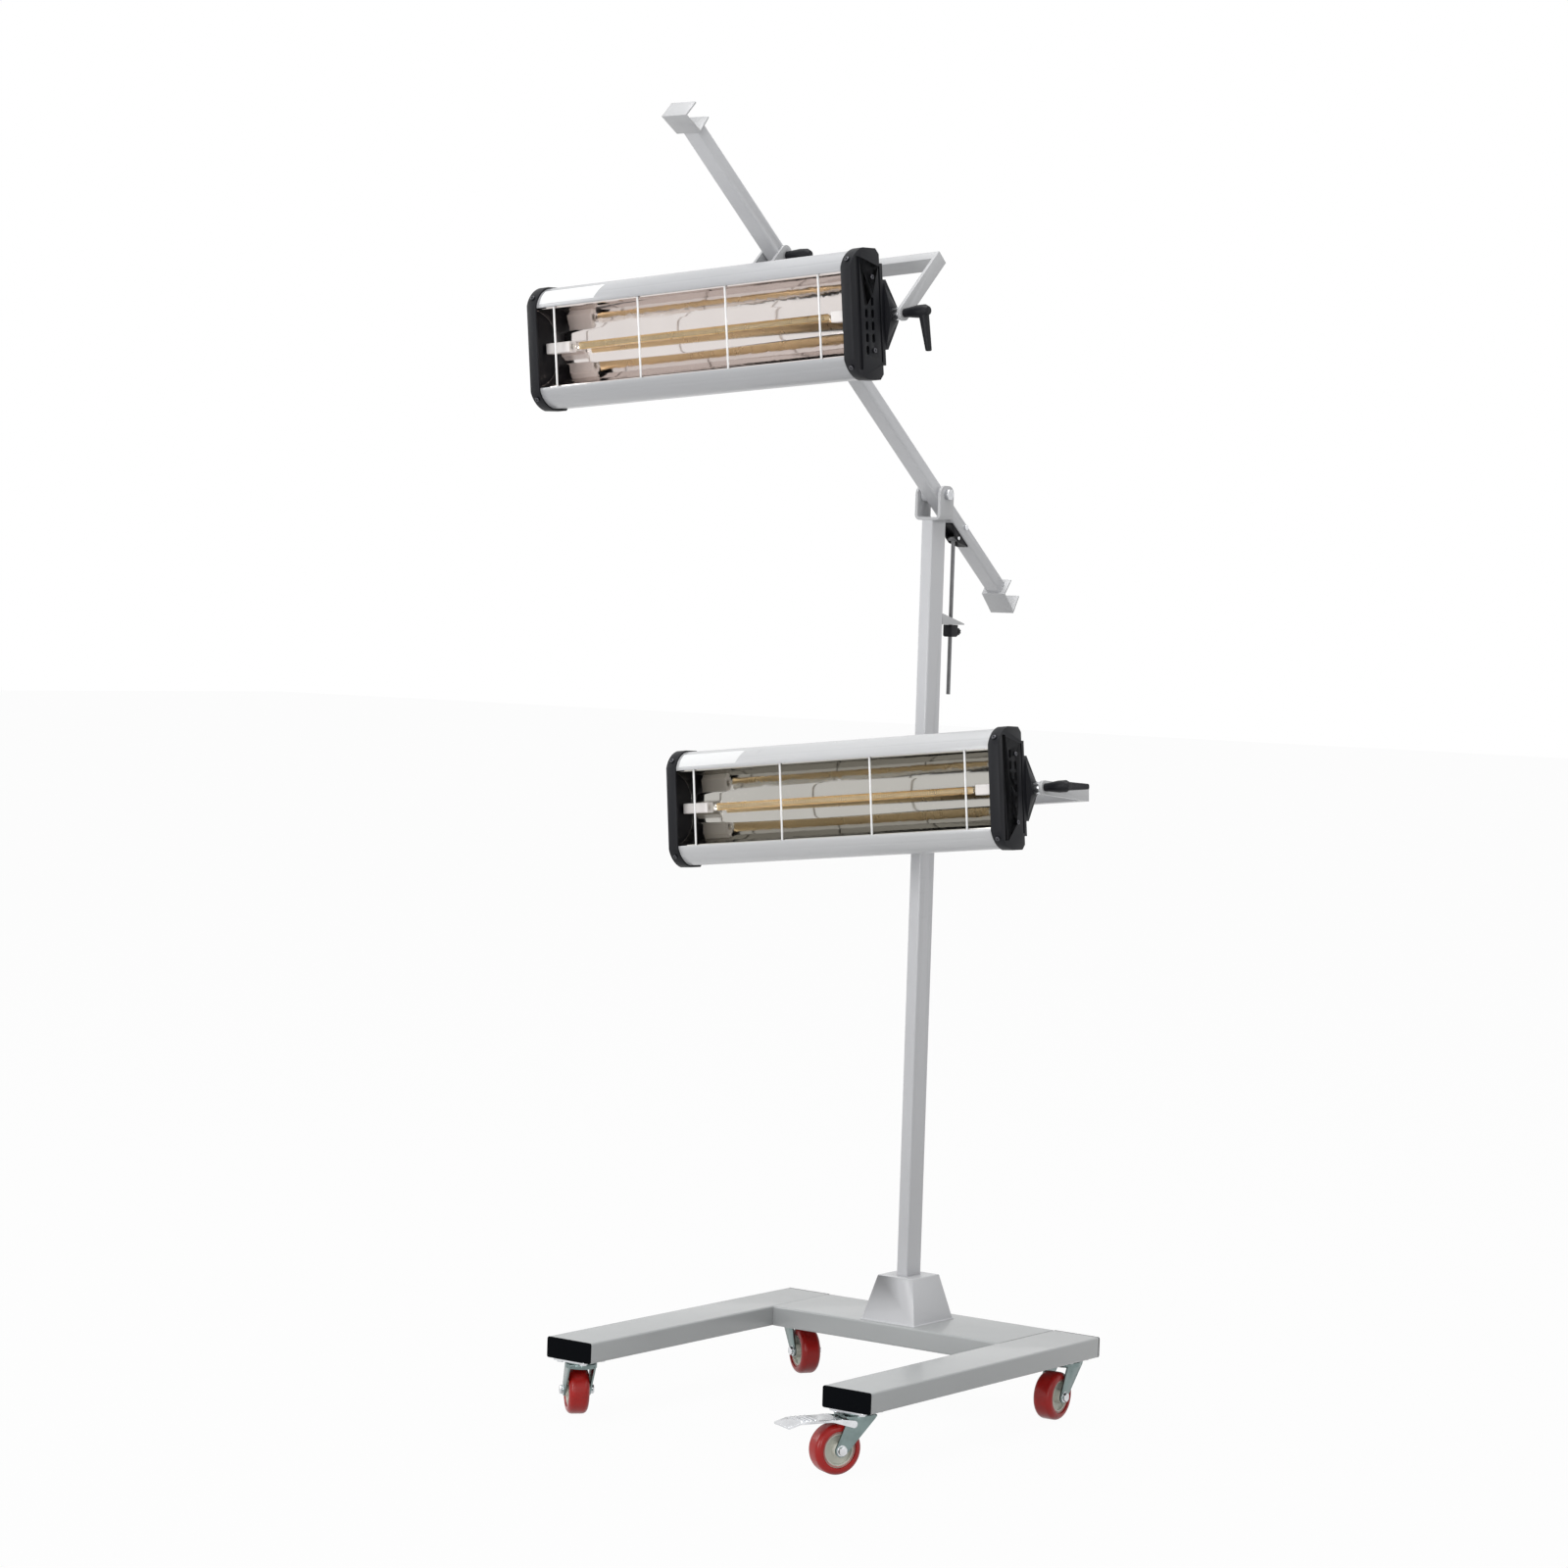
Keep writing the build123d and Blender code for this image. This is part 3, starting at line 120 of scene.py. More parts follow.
def islandsOf(node):
    # each loose solid of a node, as a list of its corner points
    mesh = bmesh.new()
    mesh.from_mesh(nodes[node].data)
    bmesh.ops.remove_doubles(mesh, verts=mesh.verts, dist=cleanUp["merge"])
    left = set(mesh.verts)
    found = []
    while left:
        front = [left.pop()]
        island = list(front)
        while front:
            corner = front.pop()
            for edge in corner.link_edges:
                other = edge.other_vert(corner)
                if other in left:
                    left.remove(other)
                    front.append(other)
                    island.append(other)
        found.append([corner.co.copy() for corner in island])
    mesh.free()
    return found


def middleOf(points):
    return sum(points, Vector()) / len(points)


def longestWay(points):
    middle = middleOf(points)
    far = max(points, key=lambda point: (point - middle).length)
    rough = far - middle
    ahead = middleOf([point for point in points if (point - middle).dot(rough) > 0])
    behind = middleOf([point for point in points if (point - middle).dot(rough) < 0])
    return (ahead - behind).normalized()


def frameFrom(origin, xWay, zWay):
    xWay = xWay.normalized()
    yWay = zWay.cross(xWay).normalized()
    zWay = xWay.cross(yWay).normalized()
    turn = Matrix((xWay, yWay, zWay)).transposed().to_4x4()
    return Matrix.Translation(origin) @ turn


# shader groups that several finishes share

def groupOf(name, inputs, outputs):
    group = bpy.data.node_groups.new(name, "ShaderNodeTree")
    for label, kind, value in inputs:
        socket = group.interface.new_socket(label, in_out="INPUT", socket_type=kind)
        socket.default_value = value
    for label, kind in outputs:
        group.interface.new_socket(label, in_out="OUTPUT", socket_type=kind)
    start = group.nodes.new("NodeGroupInput")
    finish = group.nodes.new("NodeGroupOutput")
    return group, start, finish


def linkIn(tree, source, target):
    tree.links.new(source, target)


def makeGrain():
    # fine surface grain with a slow change of tone laid over it
    group, start, finish = groupOf(
        "surfaceGrain",
        [("Scale", "NodeSocketFloat", 900.0), ("Patch Scale", "NodeSocketFloat", 9.0),
         ("Tone Low", "NodeSocketFloat", 0.94), ("Tone High", "NodeSocketFloat", 1.04)],
        [("Height", "NodeSocketFloat"), ("Tone", "NodeSocketFloat"),
         ("Patch", "NodeSocketFloat")])
    place = group.nodes.new("ShaderNodeTexCoord")
    fine = group.nodes.new("ShaderNodeTexNoise")
    fine.inputs["Detail"].default_value = 3.0
    patch = group.nodes.new("ShaderNodeTexNoise")
    patch.inputs["Detail"].default_value = 5.0
    patch.inputs["Roughness"].default_value = 0.6
    tone = group.nodes.new("ShaderNodeMapRange")
    tone.inputs["From Min"].default_value = noiseSpan[0]
    tone.inputs["From Max"].default_value = noiseSpan[1]
    linkIn(group, place.outputs["Object"], fine.inputs["Vector"])
    linkIn(group, place.outputs["Object"], patch.inputs["Vector"])
    linkIn(group, start.outputs["Scale"], fine.inputs["Scale"])
    linkIn(group, start.outputs["Patch Scale"], patch.inputs["Scale"])
    linkIn(group, patch.outputs["Fac"], tone.inputs["Value"])
    linkIn(group, start.outputs["Tone Low"], tone.inputs["To Min"])
    linkIn(group, start.outputs["Tone High"], tone.inputs["To Max"])
    linkIn(group, fine.outputs["Fac"], finish.inputs["Height"])
    linkIn(group, tone.outputs["Result"], finish.inputs["Tone"])
    linkIn(group, patch.outputs["Fac"], finish.inputs["Patch"])
    return group


def makeDust():
    # a thin film of workshop dust on faces that look up
    group, start, finish = groupOf(
        "settledDust",
        [("Amount", "NodeSocketFloat", 0.2), ("Scale", "NodeSocketFloat", 35.0)],
        [("Mask", "NodeSocketFloat")])
    geometry = group.nodes.new("ShaderNodeNewGeometry")
    split = group.nodes.new("ShaderNodeSeparateXYZ")
    place = group.nodes.new("ShaderNodeTexCoord")
    cloud = group.nodes.new("ShaderNodeTexNoise")
    cloud.inputs["Detail"].default_value = 6.0
    upward = group.nodes.new("ShaderNodeMapRange")
    upward.inputs["From Min"].default_value = 0.45
    upward.inputs["From Max"].default_value = 1.0
    patch = group.nodes.new("ShaderNodeMapRange")
    patch.inputs["From Min"].default_value = 0.35
    patch.inputs["From Max"].default_value = 0.7
    both = group.nodes.new("ShaderNodeMath")
    both.operation = "MULTIPLY"
    scaled = group.nodes.new("ShaderNodeMath")
    scaled.operation = "MULTIPLY"
    linkIn(group, geometry.outputs["Normal"], split.inputs["Vector"])
    linkIn(group, place.outputs["Object"], cloud.inputs["Vector"])
    linkIn(group, start.outputs["Scale"], cloud.inputs["Scale"])
    linkIn(group, split.outputs["Z"], upward.inputs["Value"])
    linkIn(group, cloud.outputs["Fac"], patch.inputs["Value"])
    linkIn(group, upward.outputs["Result"], both.inputs[0])
    linkIn(group, patch.outputs["Result"], both.inputs[1])
    linkIn(group, both.outputs["Value"], scaled.inputs[0])
    linkIn(group, start.outputs["Amount"], scaled.inputs[1])
    linkIn(group, scaled.outputs["Value"], finish.inputs["Mask"])
    return group


def makeScuffs():
    # short scattered scratches from handling
    group, start, finish = groupOf(
        "handlingScuffs",
        [("Scale", "NodeSocketFloat", 60.0), ("Threshold", "NodeSocketFloat", 0.62)],
        [("Mask", "NodeSocketFloat")])
    place = group.nodes.new("ShaderNodeTexCoord")
    stretch = group.nodes.new("ShaderNodeMapping")
    stretch.inputs["Scale"].default_value = (1.0, 0.18, 2.6)
    stretch.inputs["Rotation"].default_value = (0.4, 0.7, 0.9)
    lines = group.nodes.new("ShaderNodeTexNoise")
    lines.inputs["Detail"].default_value = 8.0
    lines.inputs["Roughness"].default_value = 0.72
    cut = group.nodes.new("ShaderNodeMapRange")
    cut.inputs["From Max"].default_value = 0.82
    linkIn(group, place.outputs["Object"], stretch.inputs["Vector"])
    linkIn(group, stretch.outputs["Vector"], lines.inputs["Vector"])
    linkIn(group, start.outputs["Scale"], lines.inputs["Scale"])
    linkIn(group, lines.outputs["Fac"], cut.inputs["Value"])
    linkIn(group, start.outputs["Threshold"], cut.inputs["From Min"])
    linkIn(group, cut.outputs["Result"], finish.inputs["Mask"])
    return group


grainGroup = makeGrain()
dustGroup = makeDust()
scuffGroup = makeScuffs()
print("shader groups ready")


def mixColours(tree, factor, first, second, blend="MIX"):
    mix = tree.nodes.new("ShaderNodeMix")
    mix.data_type = "RGBA"
    mix.blend_type = blend
    for socket, value in ((mix.inputs[0], factor), (mix.inputs[6], first),
                          (mix.inputs[7], second)):
        if isinstance(value, (float, int, tuple)):
            socket.default_value = value
        else:
            linkIn(tree, value, socket)
    return mix.outputs[2]


def newMaterial(name, settings):
    material = bpy.data.materials.new(name)
    material.use_nodes = True
    shader = material.node_tree.nodes["Principled BSDF"]
    for label, value in settings.items():
        shader.inputs[label].default_value = value
    return material, material.node_tree, shader


def coatedFinish(name, look):
    # a solid finish: grain in the height, slow tone, scuffs in the gloss, dust on top
    material, tree, shader = newMaterial(name, look["shader"])
    grain = tree.nodes.new("ShaderNodeGroup")
    grain.node_tree = grainGroup
    grain.inputs["Scale"].default_value = look["grainScale"]
    grain.inputs["Patch Scale"].default_value = look["patchScale"]
    grain.inputs["Tone Low"].default_value = look["tones"][0]
    grain.inputs["Tone High"].default_value = look["tones"][1]
    scuffs = tree.nodes.new("ShaderNodeGroup")
    scuffs.node_tree = scuffGroup
    scuffs.inputs["Scale"].default_value = look["scuffScale"]
    dust = tree.nodes.new("ShaderNodeGroup")
    dust.node_tree = dustGroup
    dust.inputs["Amount"].default_value = look["dust"]
    toned = tree.nodes.new("ShaderNodeVectorMath")
    toned.operation = "SCALE"
    toned.inputs[0].default_value = look["colour"]
    linkIn(tree, grain.outputs["Tone"], toned.inputs["Scale"])
    worn = mixColours(tree, scuffs.outputs["Mask"], toned.outputs["Vector"],
                      (*look["scuffColour"], 1.0))
    dusty = mixColours(tree, dust.outputs["Mask"], worn, (*look["dustColour"], 1.0))
    linkIn(tree, dusty, shader.inputs["Base Color"])
    gloss = tree.nodes.new("ShaderNodeMapRange")
    gloss.inputs["From Min"].default_value = noiseSpan[0]
    gloss.inputs["From Max"].default_value = noiseSpan[1]
    gloss.inputs["To Min"].default_value = look["roughness"][0]
    gloss.inputs["To Max"].default_value = look["roughness"][1]
    linkIn(tree, grain.outputs["Patch"], gloss.inputs["Value"])
    linkIn(tree, gloss.outputs["Result"], shader.inputs["Roughness"])
    bump = tree.nodes.new("ShaderNodeBump")
    bump.inputs["Strength"].default_value = look["bump"]
    bump.inputs["Distance"].default_value = look["bumpDepth"]
    linkIn(tree, grain.outputs["Height"], bump.inputs["Height"])
    linkIn(tree, bump.outputs["Normal"], shader.inputs["Normal"])
    return material


paintLook = {
    "shader": {"Coat Weight": 0.45, "Coat Roughness": 0.16, "Specular IOR Level": 0.5},
    "colour": (0.545, 0.55, 0.567), "tones": (0.97, 1.02), "roughness": (0.36, 0.46),
    "grainScale": 420.0, "patchScale": 7.0, "bump": 0.03, "bumpDepth": 0.0001,
    "scuffScale": 45.0, "scuffColour": (0.44, 0.445, 0.46), "dust": 0.05,
    "dustColour": (0.58, 0.57, 0.55)}
# the base's coat is the post's grey painted darker: painted shade on the legs and cross
# tube
shadedBasePaintLook = dict(paintLook, colour=(0.36, 0.372, 0.375),
                     scuffColour=(0.33, 0.34, 0.345))
fittingLook = dict(paintLook, colour=(0.47, 0.475, 0.485), patchScale=22.0)
sheetLook = dict(paintLook, colour=(0.42, 0.425, 0.44), roughness=(0.30, 0.38),
                 patchScale=5.0)
# the lower head's housing coat is the upper one painted lighter: painted light
litLowerSheetLook = dict(sheetLook, colour=(0.53, 0.535, 0.545))
plasticLook = {
    "shader": {"Specular IOR Level": 0.2}, "colour": (0.008, 0.0085, 0.011),
    "tones": (0.85, 1.12), "roughness": (0.42, 0.55), "grainScale": 2200.0,
    "patchScale": 14.0, "bump": 0.22, "bumpDepth": 0.0003, "scuffScale": 70.0,
    "scuffColour": (0.020, 0.020, 0.024), "dust": 0.05, "dustColour": (0.06, 0.06, 0.06)}
blackSteelLook = dict(plasticLook, colour=(0.006, 0.006, 0.008), roughness=(0.3, 0.42),
                      bump=0.08)
capLook = dict(plasticLook, colour=(0.0015, 0.002, 0.003), dust=0.0,
               scuffColour=(0.004, 0.004, 0.004), shader={"Specular IOR Level": 0.03})
treadLook = {
    "shader": {"Specular IOR Level": 0.3, "Coat Weight": 0.15, "Coat Roughness": 0.12},
    "colour": (0.36, 0.007, 0.005), "tones": (0.85, 1.1), "roughness": (0.26, 0.4),
    "grainScale": 500.0, "patchScale": 40.0, "bump": 0.05, "bumpDepth": 0.0003,
    "scuffScale": 110.0, "scuffColour": (0.22, 0.010, 0.007), "dust": 0.03,
    "dustColour": (0.3, 0.12, 0.10)}
hubLook = dict(treadLook, colour=(0.56, 0.57, 0.50), scuffColour=(0.42, 0.42, 0.37),
               tones=(0.94, 1.03), dustColour=(0.5, 0.48, 0.44))
# a pinkish copy of the red tread: painted highlight on the tread's rounded edge
treadHighlightLook = dict(treadLook, colour=(0.50, 0.24, 0.22), scuffColour=(0.4, 0.2, 0.18))
ceramicLook = {
    "shader": {"Specular IOR Level": 0.5, "Coat Weight": 0.3, "Coat Roughness": 0.1},
    "colour": (0.90, 0.86, 0.84), "tones": (0.95, 1.02), "roughness": (0.3, 0.5),
    "grainScale": 900.0, "patchScale": 60.0, "bump": 0.12, "bumpDepth": 0.0003,
    "scuffScale": 120.0, "scuffColour": (0.74, 0.70, 0.67), "dust": 0.03,
    "dustColour": (0.6, 0.58, 0.55)}
labelLook = {
    "shader": {"Specular IOR Level": 0.5}, "colour": (0.78, 0.785, 0.79),
    "tones": (0.985, 1.01), "roughness": (0.32, 0.4), "grainScale": 1500.0,
    "patchScale": 30.0, "bump": 0.04, "bumpDepth": 0.0001, "scuffScale": 80.0,
    "scuffColour": (0.72, 0.72, 0.72), "dust": 0.0, "dustColour": (0.7, 0.7, 0.7)}
wireLook = dict(labelLook, colour=(0.90, 0.90, 0.90), roughness=(0.2, 0.32),
                scuffColour=(0.82, 0.82, 0.82), shader={"Specular IOR Level": 0.6})

zincLook = {
    "shader": {"Metallic": 1.0}, "colour": (0.20, 0.255, 0.25), "tones": (0.78, 1.2),
    "roughness": (0.24, 0.42), "grainScale": 700.0, "patchScale": 35.0, "bump": 0.08,
    "bumpDepth": 0.0002, "scuffScale": 90.0, "scuffColour": (0.34, 0.38, 0.37),
    "dust": 0.1, "dustColour": (0.4, 0.4, 0.38)}
steelLook = dict(zincLook, colour=(0.66, 0.67, 0.69), roughness=(0.16, 0.3),
                 scuffColour=(0.5, 0.5, 0.52), dust=0.04)
mirrorLook = dict(zincLook, colour=(0.77, 0.715, 0.69), tones=(0.95, 1.0),
                  roughness=(0.05, 0.09), patchScale=12.0, bump=0.02,
                  scuffColour=(0.70, 0.64, 0.58), dust=0.0)
# the lower head's reflector is the upper one painted darker: painted shade and reflection
shadedLowerMirrorLook = dict(mirrorLook, colour=(0.50, 0.485, 0.45))
goldLook = dict(zincLook, colour=(0.80, 0.62, 0.38), tones=(0.92, 1.05),
                roughness=(0.25, 0.35), patchScale=50.0, scuffColour=(0.6, 0.45, 0.3),
                dust=0.0)
rodLook = dict(zincLook, colour=(0.17, 0.17, 0.175), roughness=(0.3, 0.42),
               scuffColour=(0.3, 0.3, 0.3), dust=0.0)
screwLook = dict(zincLook, colour=(0.09, 0.09, 0.10), roughness=(0.26, 0.38),
                 scuffColour=(0.3, 0.3, 0.3), dust=0.0)
filamentLook = dict(zincLook, colour=(0.32, 0.31, 0.30), roughness=(0.35, 0.5), dust=0.0)

paint = coatedFinish("greyPowderCoat", paintLook)
litLowerSheetPaint = coatedFinish("lowerSheetCoatPaintedLight", litLowerSheetLook)
shadedBasePaint = coatedFinish("baseGreyCoatPaintedShade", shadedBasePaintLook)
fittingPaint = coatedFinish("greyFittingCoat", fittingLook)
sheetPaint = coatedFinish("housingSheetCoat", sheetLook)
plastic = coatedFinish("blackMouldedPlastic", plasticLook)
blackSteel = coatedFinish("blackSteel", blackSteelLook)
capPlastic = coatedFinish("blackTubeCap", capLook)
treadRubber = coatedFinish("redTread", treadLook)
hubPlastic = coatedFinish("creamHub", hubLook)
treadHighlightFinish = coatedFinish("paintedTreadHighlight", treadHighlightLook)
ceramic = coatedFinish("glazedCeramic", ceramicLook)
labelPaper = coatedFinish("bareLabel", labelLook)
wireSteel = coatedFinish("paleGuardWire", wireLook)
zinc = coatedFinish("zincSteel", zincLook)
steel = coatedFinish("brightSteel", steelLook)
mirror = coatedFinish("polishedReflector", mirrorLook)
shadedLowerMirror = coatedFinish("lowerReflectorPaintedShade", shadedLowerMirrorLook)
gold = coatedFinish("goldCoating", goldLook)
filamentMetal = coatedFinish("filament", filamentLook)
darkSteel = coatedFinish("darkScrewSteel", screwLook)
rodSteel = coatedFinish("dullRodSteel", rodLook)


def quartzGlass():
    material, tree, shader = newMaterial("quartzGlass", {
        "Base Color": (0.98, 0.97, 0.94, 1.0), "Transmission Weight": 1.0, "IOR": 1.2,
        "Metallic": 0.0})
    grain = tree.nodes.new("ShaderNodeGroup")
    grain.node_tree = grainGroup
    grain.inputs["Patch Scale"].default_value = 40.0
    haze = tree.nodes.new("ShaderNodeMapRange")
    haze.inputs["From Min"].default_value = noiseSpan[0]
    haze.inputs["From Max"].default_value = noiseSpan[1]
    haze.inputs["To Min"].default_value = 0.02
    haze.inputs["To Max"].default_value = 0.07
    linkIn(tree, grain.outputs["Patch"], haze.inputs["Value"])
    linkIn(tree, haze.outputs["Result"], shader.inputs["Roughness"])
    return material


quartz = quartzGlass()
print("materials ready")


# CAD nodes carried over with softened edges

def softened(node, material, body, width, degrees=32, segments=2):
    activate(nodes[node])
    bpy.ops.object.duplicate()
    piece = bpy.context.active_object
    piece.name = node + "_finished"
    piece.data.name = piece.name
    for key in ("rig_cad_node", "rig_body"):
        if key in piece:
            del piece[key]
    editAll()
    bpy.ops.mesh.remove_doubles(threshold=cleanUp["merge"])
    bpy.ops.mesh.dissolve_limited(angle_limit=math.radians(cleanUp["flat"]))
    bpy.ops.mesh.normals_make_consistent(inside=False)
    endEdit()
    applyModifier(piece, "softEdges", "BEVEL", width=width, segments=segments,
                  limit_method="ANGLE", angle_limit=math.radians(degrees),
                  use_clamp_overlap=True, miter_outer="MITER_ARC")
    smoothByAngle(piece, cleanUp["smooth"])
    dress(piece, material, body, (node,))
    return piece


bodyOf = {}
for bodyName, members in frame["record"]["behaviour"]["bodies"].items():
    for member in members:
        bodyOf[member] = bodyName

corners = ("front_left", "front_right", "rear_left", "rear_right")
heads = ("upper", "lower")
softEdges = {}      # node: (finish, edge width in metres)
# the base parts take the darker coat with painted shade
for node in ("base_cross_tube", "base_leg_left", "base_leg_right"):
    softEdges[node] = (shadedBasePaint, 0.0004)
for node in ("post_tube", "arm_tube"):
    softEdges[node] = (paint, 0.0004)
softEdges["post_socket"] = (paint, 0.0014)
softEdges["leg_end_caps"] = (capPlastic, 0.0006)
for node in ("cable_hook_front", "cable_hook_rear", "arm_clevis"):
    softEdges[node] = (fittingPaint, 0.0006)
softEdges["rod_channel"] = (blackSteel, 0.0004)
softEdges["rod_bracket"] = (fittingPaint, 0.0004)
softEdges["clamp_block"] = (plastic, 0.0006)
softEdges["clamp_screw"] = (plastic, 0.0005)
softEdges["stay_rod"] = (rodSteel, 0.0004)
for node in ("arm_pivot_bolt", "rod_channel_bolts", "caster_plate_screws"):
    softEdges[node] = (steel, 0.0004)
softEdges["brake_pedal"] = (steel, 0.0006)
softEdges["caster_plates"] = (steel, 0.0005)
for corner in corners:
    softEdges["caster_fork_" + corner] = (zinc, 0.0006)
    softEdges["caster_tread_" + corner] = (treadRubber, 0.0006)
    softEdges["caster_hub_" + corner] = (hubPlastic, 0.0007)
for head in heads:
    softEdges[head + "_bracket"] = (fittingPaint, 0.0005)
    softEdges[head + "_yoke"] = (fittingPaint, 0.0007)
    softEdges[head + "_end_cap_left"] = (plastic, 0.0007)
    softEdges[head + "_end_cap_right"] = (plastic, 0.0007)
    softEdges[head + "_guard_wires"] = (wireSteel, 0.0003)
    softEdges[head + "_lamp_holders"] = (ceramic, 0.0007)
    softEdges[head + "_bracket_bolts"] = (steel, 0.0004)
    softEdges[head + "_tilt_bolts"] = (steel, 0.0004)
    softEdges[head + "_bracket_lever"] = (plastic, 0.0016)
    softEdges[head + "_tilt_lever"] = (plastic, 0.0016)
softEdges["upper_housing"] = (sheetPaint, 0.0003)
# the lower housing takes the lighter coat with painted light
softEdges["lower_housing"] = (litLowerSheetPaint, 0.0003)
softEdges["upper_reflector"] = (mirror, 0.0003)
# the lower reflector takes the darker finish with painted shade and reflection
softEdges["lower_reflector"] = (shadedLowerMirror, 0.0003)

finished = {}
for node, (material, width) in softEdges.items():
    finished[node] = softened(node, material, bodyOf[node], width)
print("edges softened on", len(finished), "nodes")


# lamp heads

headFrames = {}
for head in heads:
    tilt = joints[head + "_head_tilt"]
    wires = islandsOf(head + "_guard_wires")
    upWay = longestWay(wires[0])
    if upWay.z < 0:
        upWay = -upWay
    headFrames[head] = frameFrom(Vector(tilt["pos_m"]), Vector(tilt["axis"]), upWay)


def localBox(node, place):
    inverse = place.inverted()
    points = [inverse @ corner.co for corner in nodes[node].data.vertices]
    low = Vector([min(point[k] for point in points) for k in range(3)])
    high = Vector([max(point[k] for point in points) for k in range(3)])
    return low, high


def darkenEndWalls(head):
    # the trough's end walls are blackened, the mirror is on the curved sheet alone
    piece = finished[head + "_reflector"]
    piece.data.materials.append(blackSteel)      # slot 1 of the piece
    across = headFrames[head].col[0].to_3d()
    for face in piece.data.polygons:
        if abs(face.normal.dot(across)) > 0.7:
            face.material_index = 1


lampTube = {"radius": 0.0054, "pinch": 0.014, "shoulder": 0.004, "wall": 0.0006,
            "segments": 40, "flatWide": 0.62, "flatThin": 0.36, "pinchStart": 0.001,
            "coilTurns": 150, "coilRadius": 0.0021, "coilWire": 0.00022, "coilSteps": 10,
            "coilShort": 0.01, "goldGap": 0.00015}


def quartzTube(head):
    place = headFrames[head]
    low, high = localBox(head + "_lamp", place)
    middle = (low + high) / 2
    length = high.x - low.x
    bpy.ops.mesh.primitive_cylinder_add(vertices=lampTube["segments"],
                                        radius=lampTube["radius"], depth=length)
    tube = bpy.context.active_object
    tube.name = head + "_quartz_tube"
    editAll()
    # ring edges where the round tube turns into its flat pinched ends
    for share in (-1, 1):
        for inset in (lampTube["pinch"], lampTube["pinch"] + lampTube["shoulder"]):
            bpy.ops.mesh.select_all(action="SELECT")
            bpy.ops.mesh.bisect(plane_co=(0, 0, share * (length / 2 - inset)),
                                plane_no=(0, 0, 1))
    endEdit()
    for corner in tube.data.vertices:
        if abs(corner.co.z) > length / 2 - lampTube["pinch"] - lampTube["pinchStart"]:
            corner.co.x *= lampTube["flatWide"]
            corner.co.y *= lampTube["flatThin"]
    tube.data.transform(Matrix.Rotation(math.pi / 2, 4, "Y"))
    smoothByAngle(tube, cleanUp["smooth"])
    settle(tube, place @ Matrix.Translation(middle))
    dress(tube, quartz, head + "_head", (head + "_lamp",))

    # the gold film on the rear half of the tube
    filmLength = length - 2 * (lampTube["pinch"] + lampTube["shoulder"])
    bpy.ops.mesh.primitive_cylinder_add(vertices=lampTube["segments"],
                                        end_fill_type="NOTHING",
                                        radius=lampTube["radius"] - lampTube["wall"],
                                        depth=filmLength)
    film = bpy.context.active_object
    film.name = head + "_gold_film"
    editAll()
    bpy.ops.mesh.bisect(plane_co=(0, -lampTube["goldGap"], 0), plane_no=(0, 1, 0),
                        clear_inner=True)
    endEdit()
    applyModifier(film, "thickness", "SOLIDIFY", thickness=lampTube["goldGap"], offset=0)
    film.data.transform(Matrix.Rotation(math.pi / 2, 4, "Y"))
    smoothByAngle(film, cleanUp["smooth"])
    settle(film, place @ Matrix.Translation(middle))
    dress(film, gold, head + "_head")

    # the coiled filament, one turn swept by the screw and repeated along the tube
    bpy.ops.mesh.primitive_circle_add(vertices=5, radius=lampTube["coilWire"],
                                      location=(lampTube["coilRadius"], 0, 0),
                                      rotation=(math.pi / 2, 0, 0))
    coil = bpy.context.active_object
    coil.name = head + "_filament"
    bpy.ops.object.transform_apply(location=True, rotation=True, scale=True)
    coilLength = filmLength - lampTube["coilShort"]
    pitch = coilLength / lampTube["coilTurns"]
    applyModifier(coil, "coil", "SCREW", axis="Z", screw_offset=pitch,
                  steps=lampTube["coilSteps"], render_steps=lampTube["coilSteps"],
                  iterations=lampTube["coilTurns"])
    coil.data.transform(Matrix.Translation((0, 0, -coilLength / 2)))
    coil.data.transform(Matrix.Rotation(math.pi / 2, 4, "Y"))
    editAll()
    bpy.ops.mesh.remove_doubles(threshold=cleanUp["fineMerge"])
    bpy.ops.mesh.fill_holes(sides=6)
    bpy.ops.mesh.normals_make_consistent(inside=False)
    endEdit()
    smoothByAngle(coil, 60)
    settle(coil, place @ Matrix.Translation(middle))
    dress(coil, filamentMetal, head + "_head")


label = {"left": -0.270, "right": -0.167, "slant": 0.010, "startShare": 0.04,
         "endShare": 0.66, "stand": 0.0001, "sheet": 0.0003, "rows": 12, "columns": 24,
         "rim": [(0.0, 0.060), (0.010, 0.0765), (0.028, 0.0863)], "inset": 0.0025,
         "depth": 0.077}


def circleThrough(first, second, third):
    # middle and radius of the arc through three points of a plane
    (ax, ay), (bx, by), (cx, cy) = first, second, third
    d = 2 * (ax * (by - cy) + bx * (cy - ay) + cx * (ay - by))
    ux = ((ax * ax + ay * ay) * (by - cy) + (bx * bx + by * by) * (cy - ay)
          + (cx * cx + cy * cy) * (ay - by)) / d
    uy = ((ax * ax + ay * ay) * (cx - bx) + (bx * bx + by * by) * (ax - cx)
          + (cx * cx + cy * cy) * (bx - ax)) / d
    return ux, uy, math.hypot(ax - ux, ay - uy)


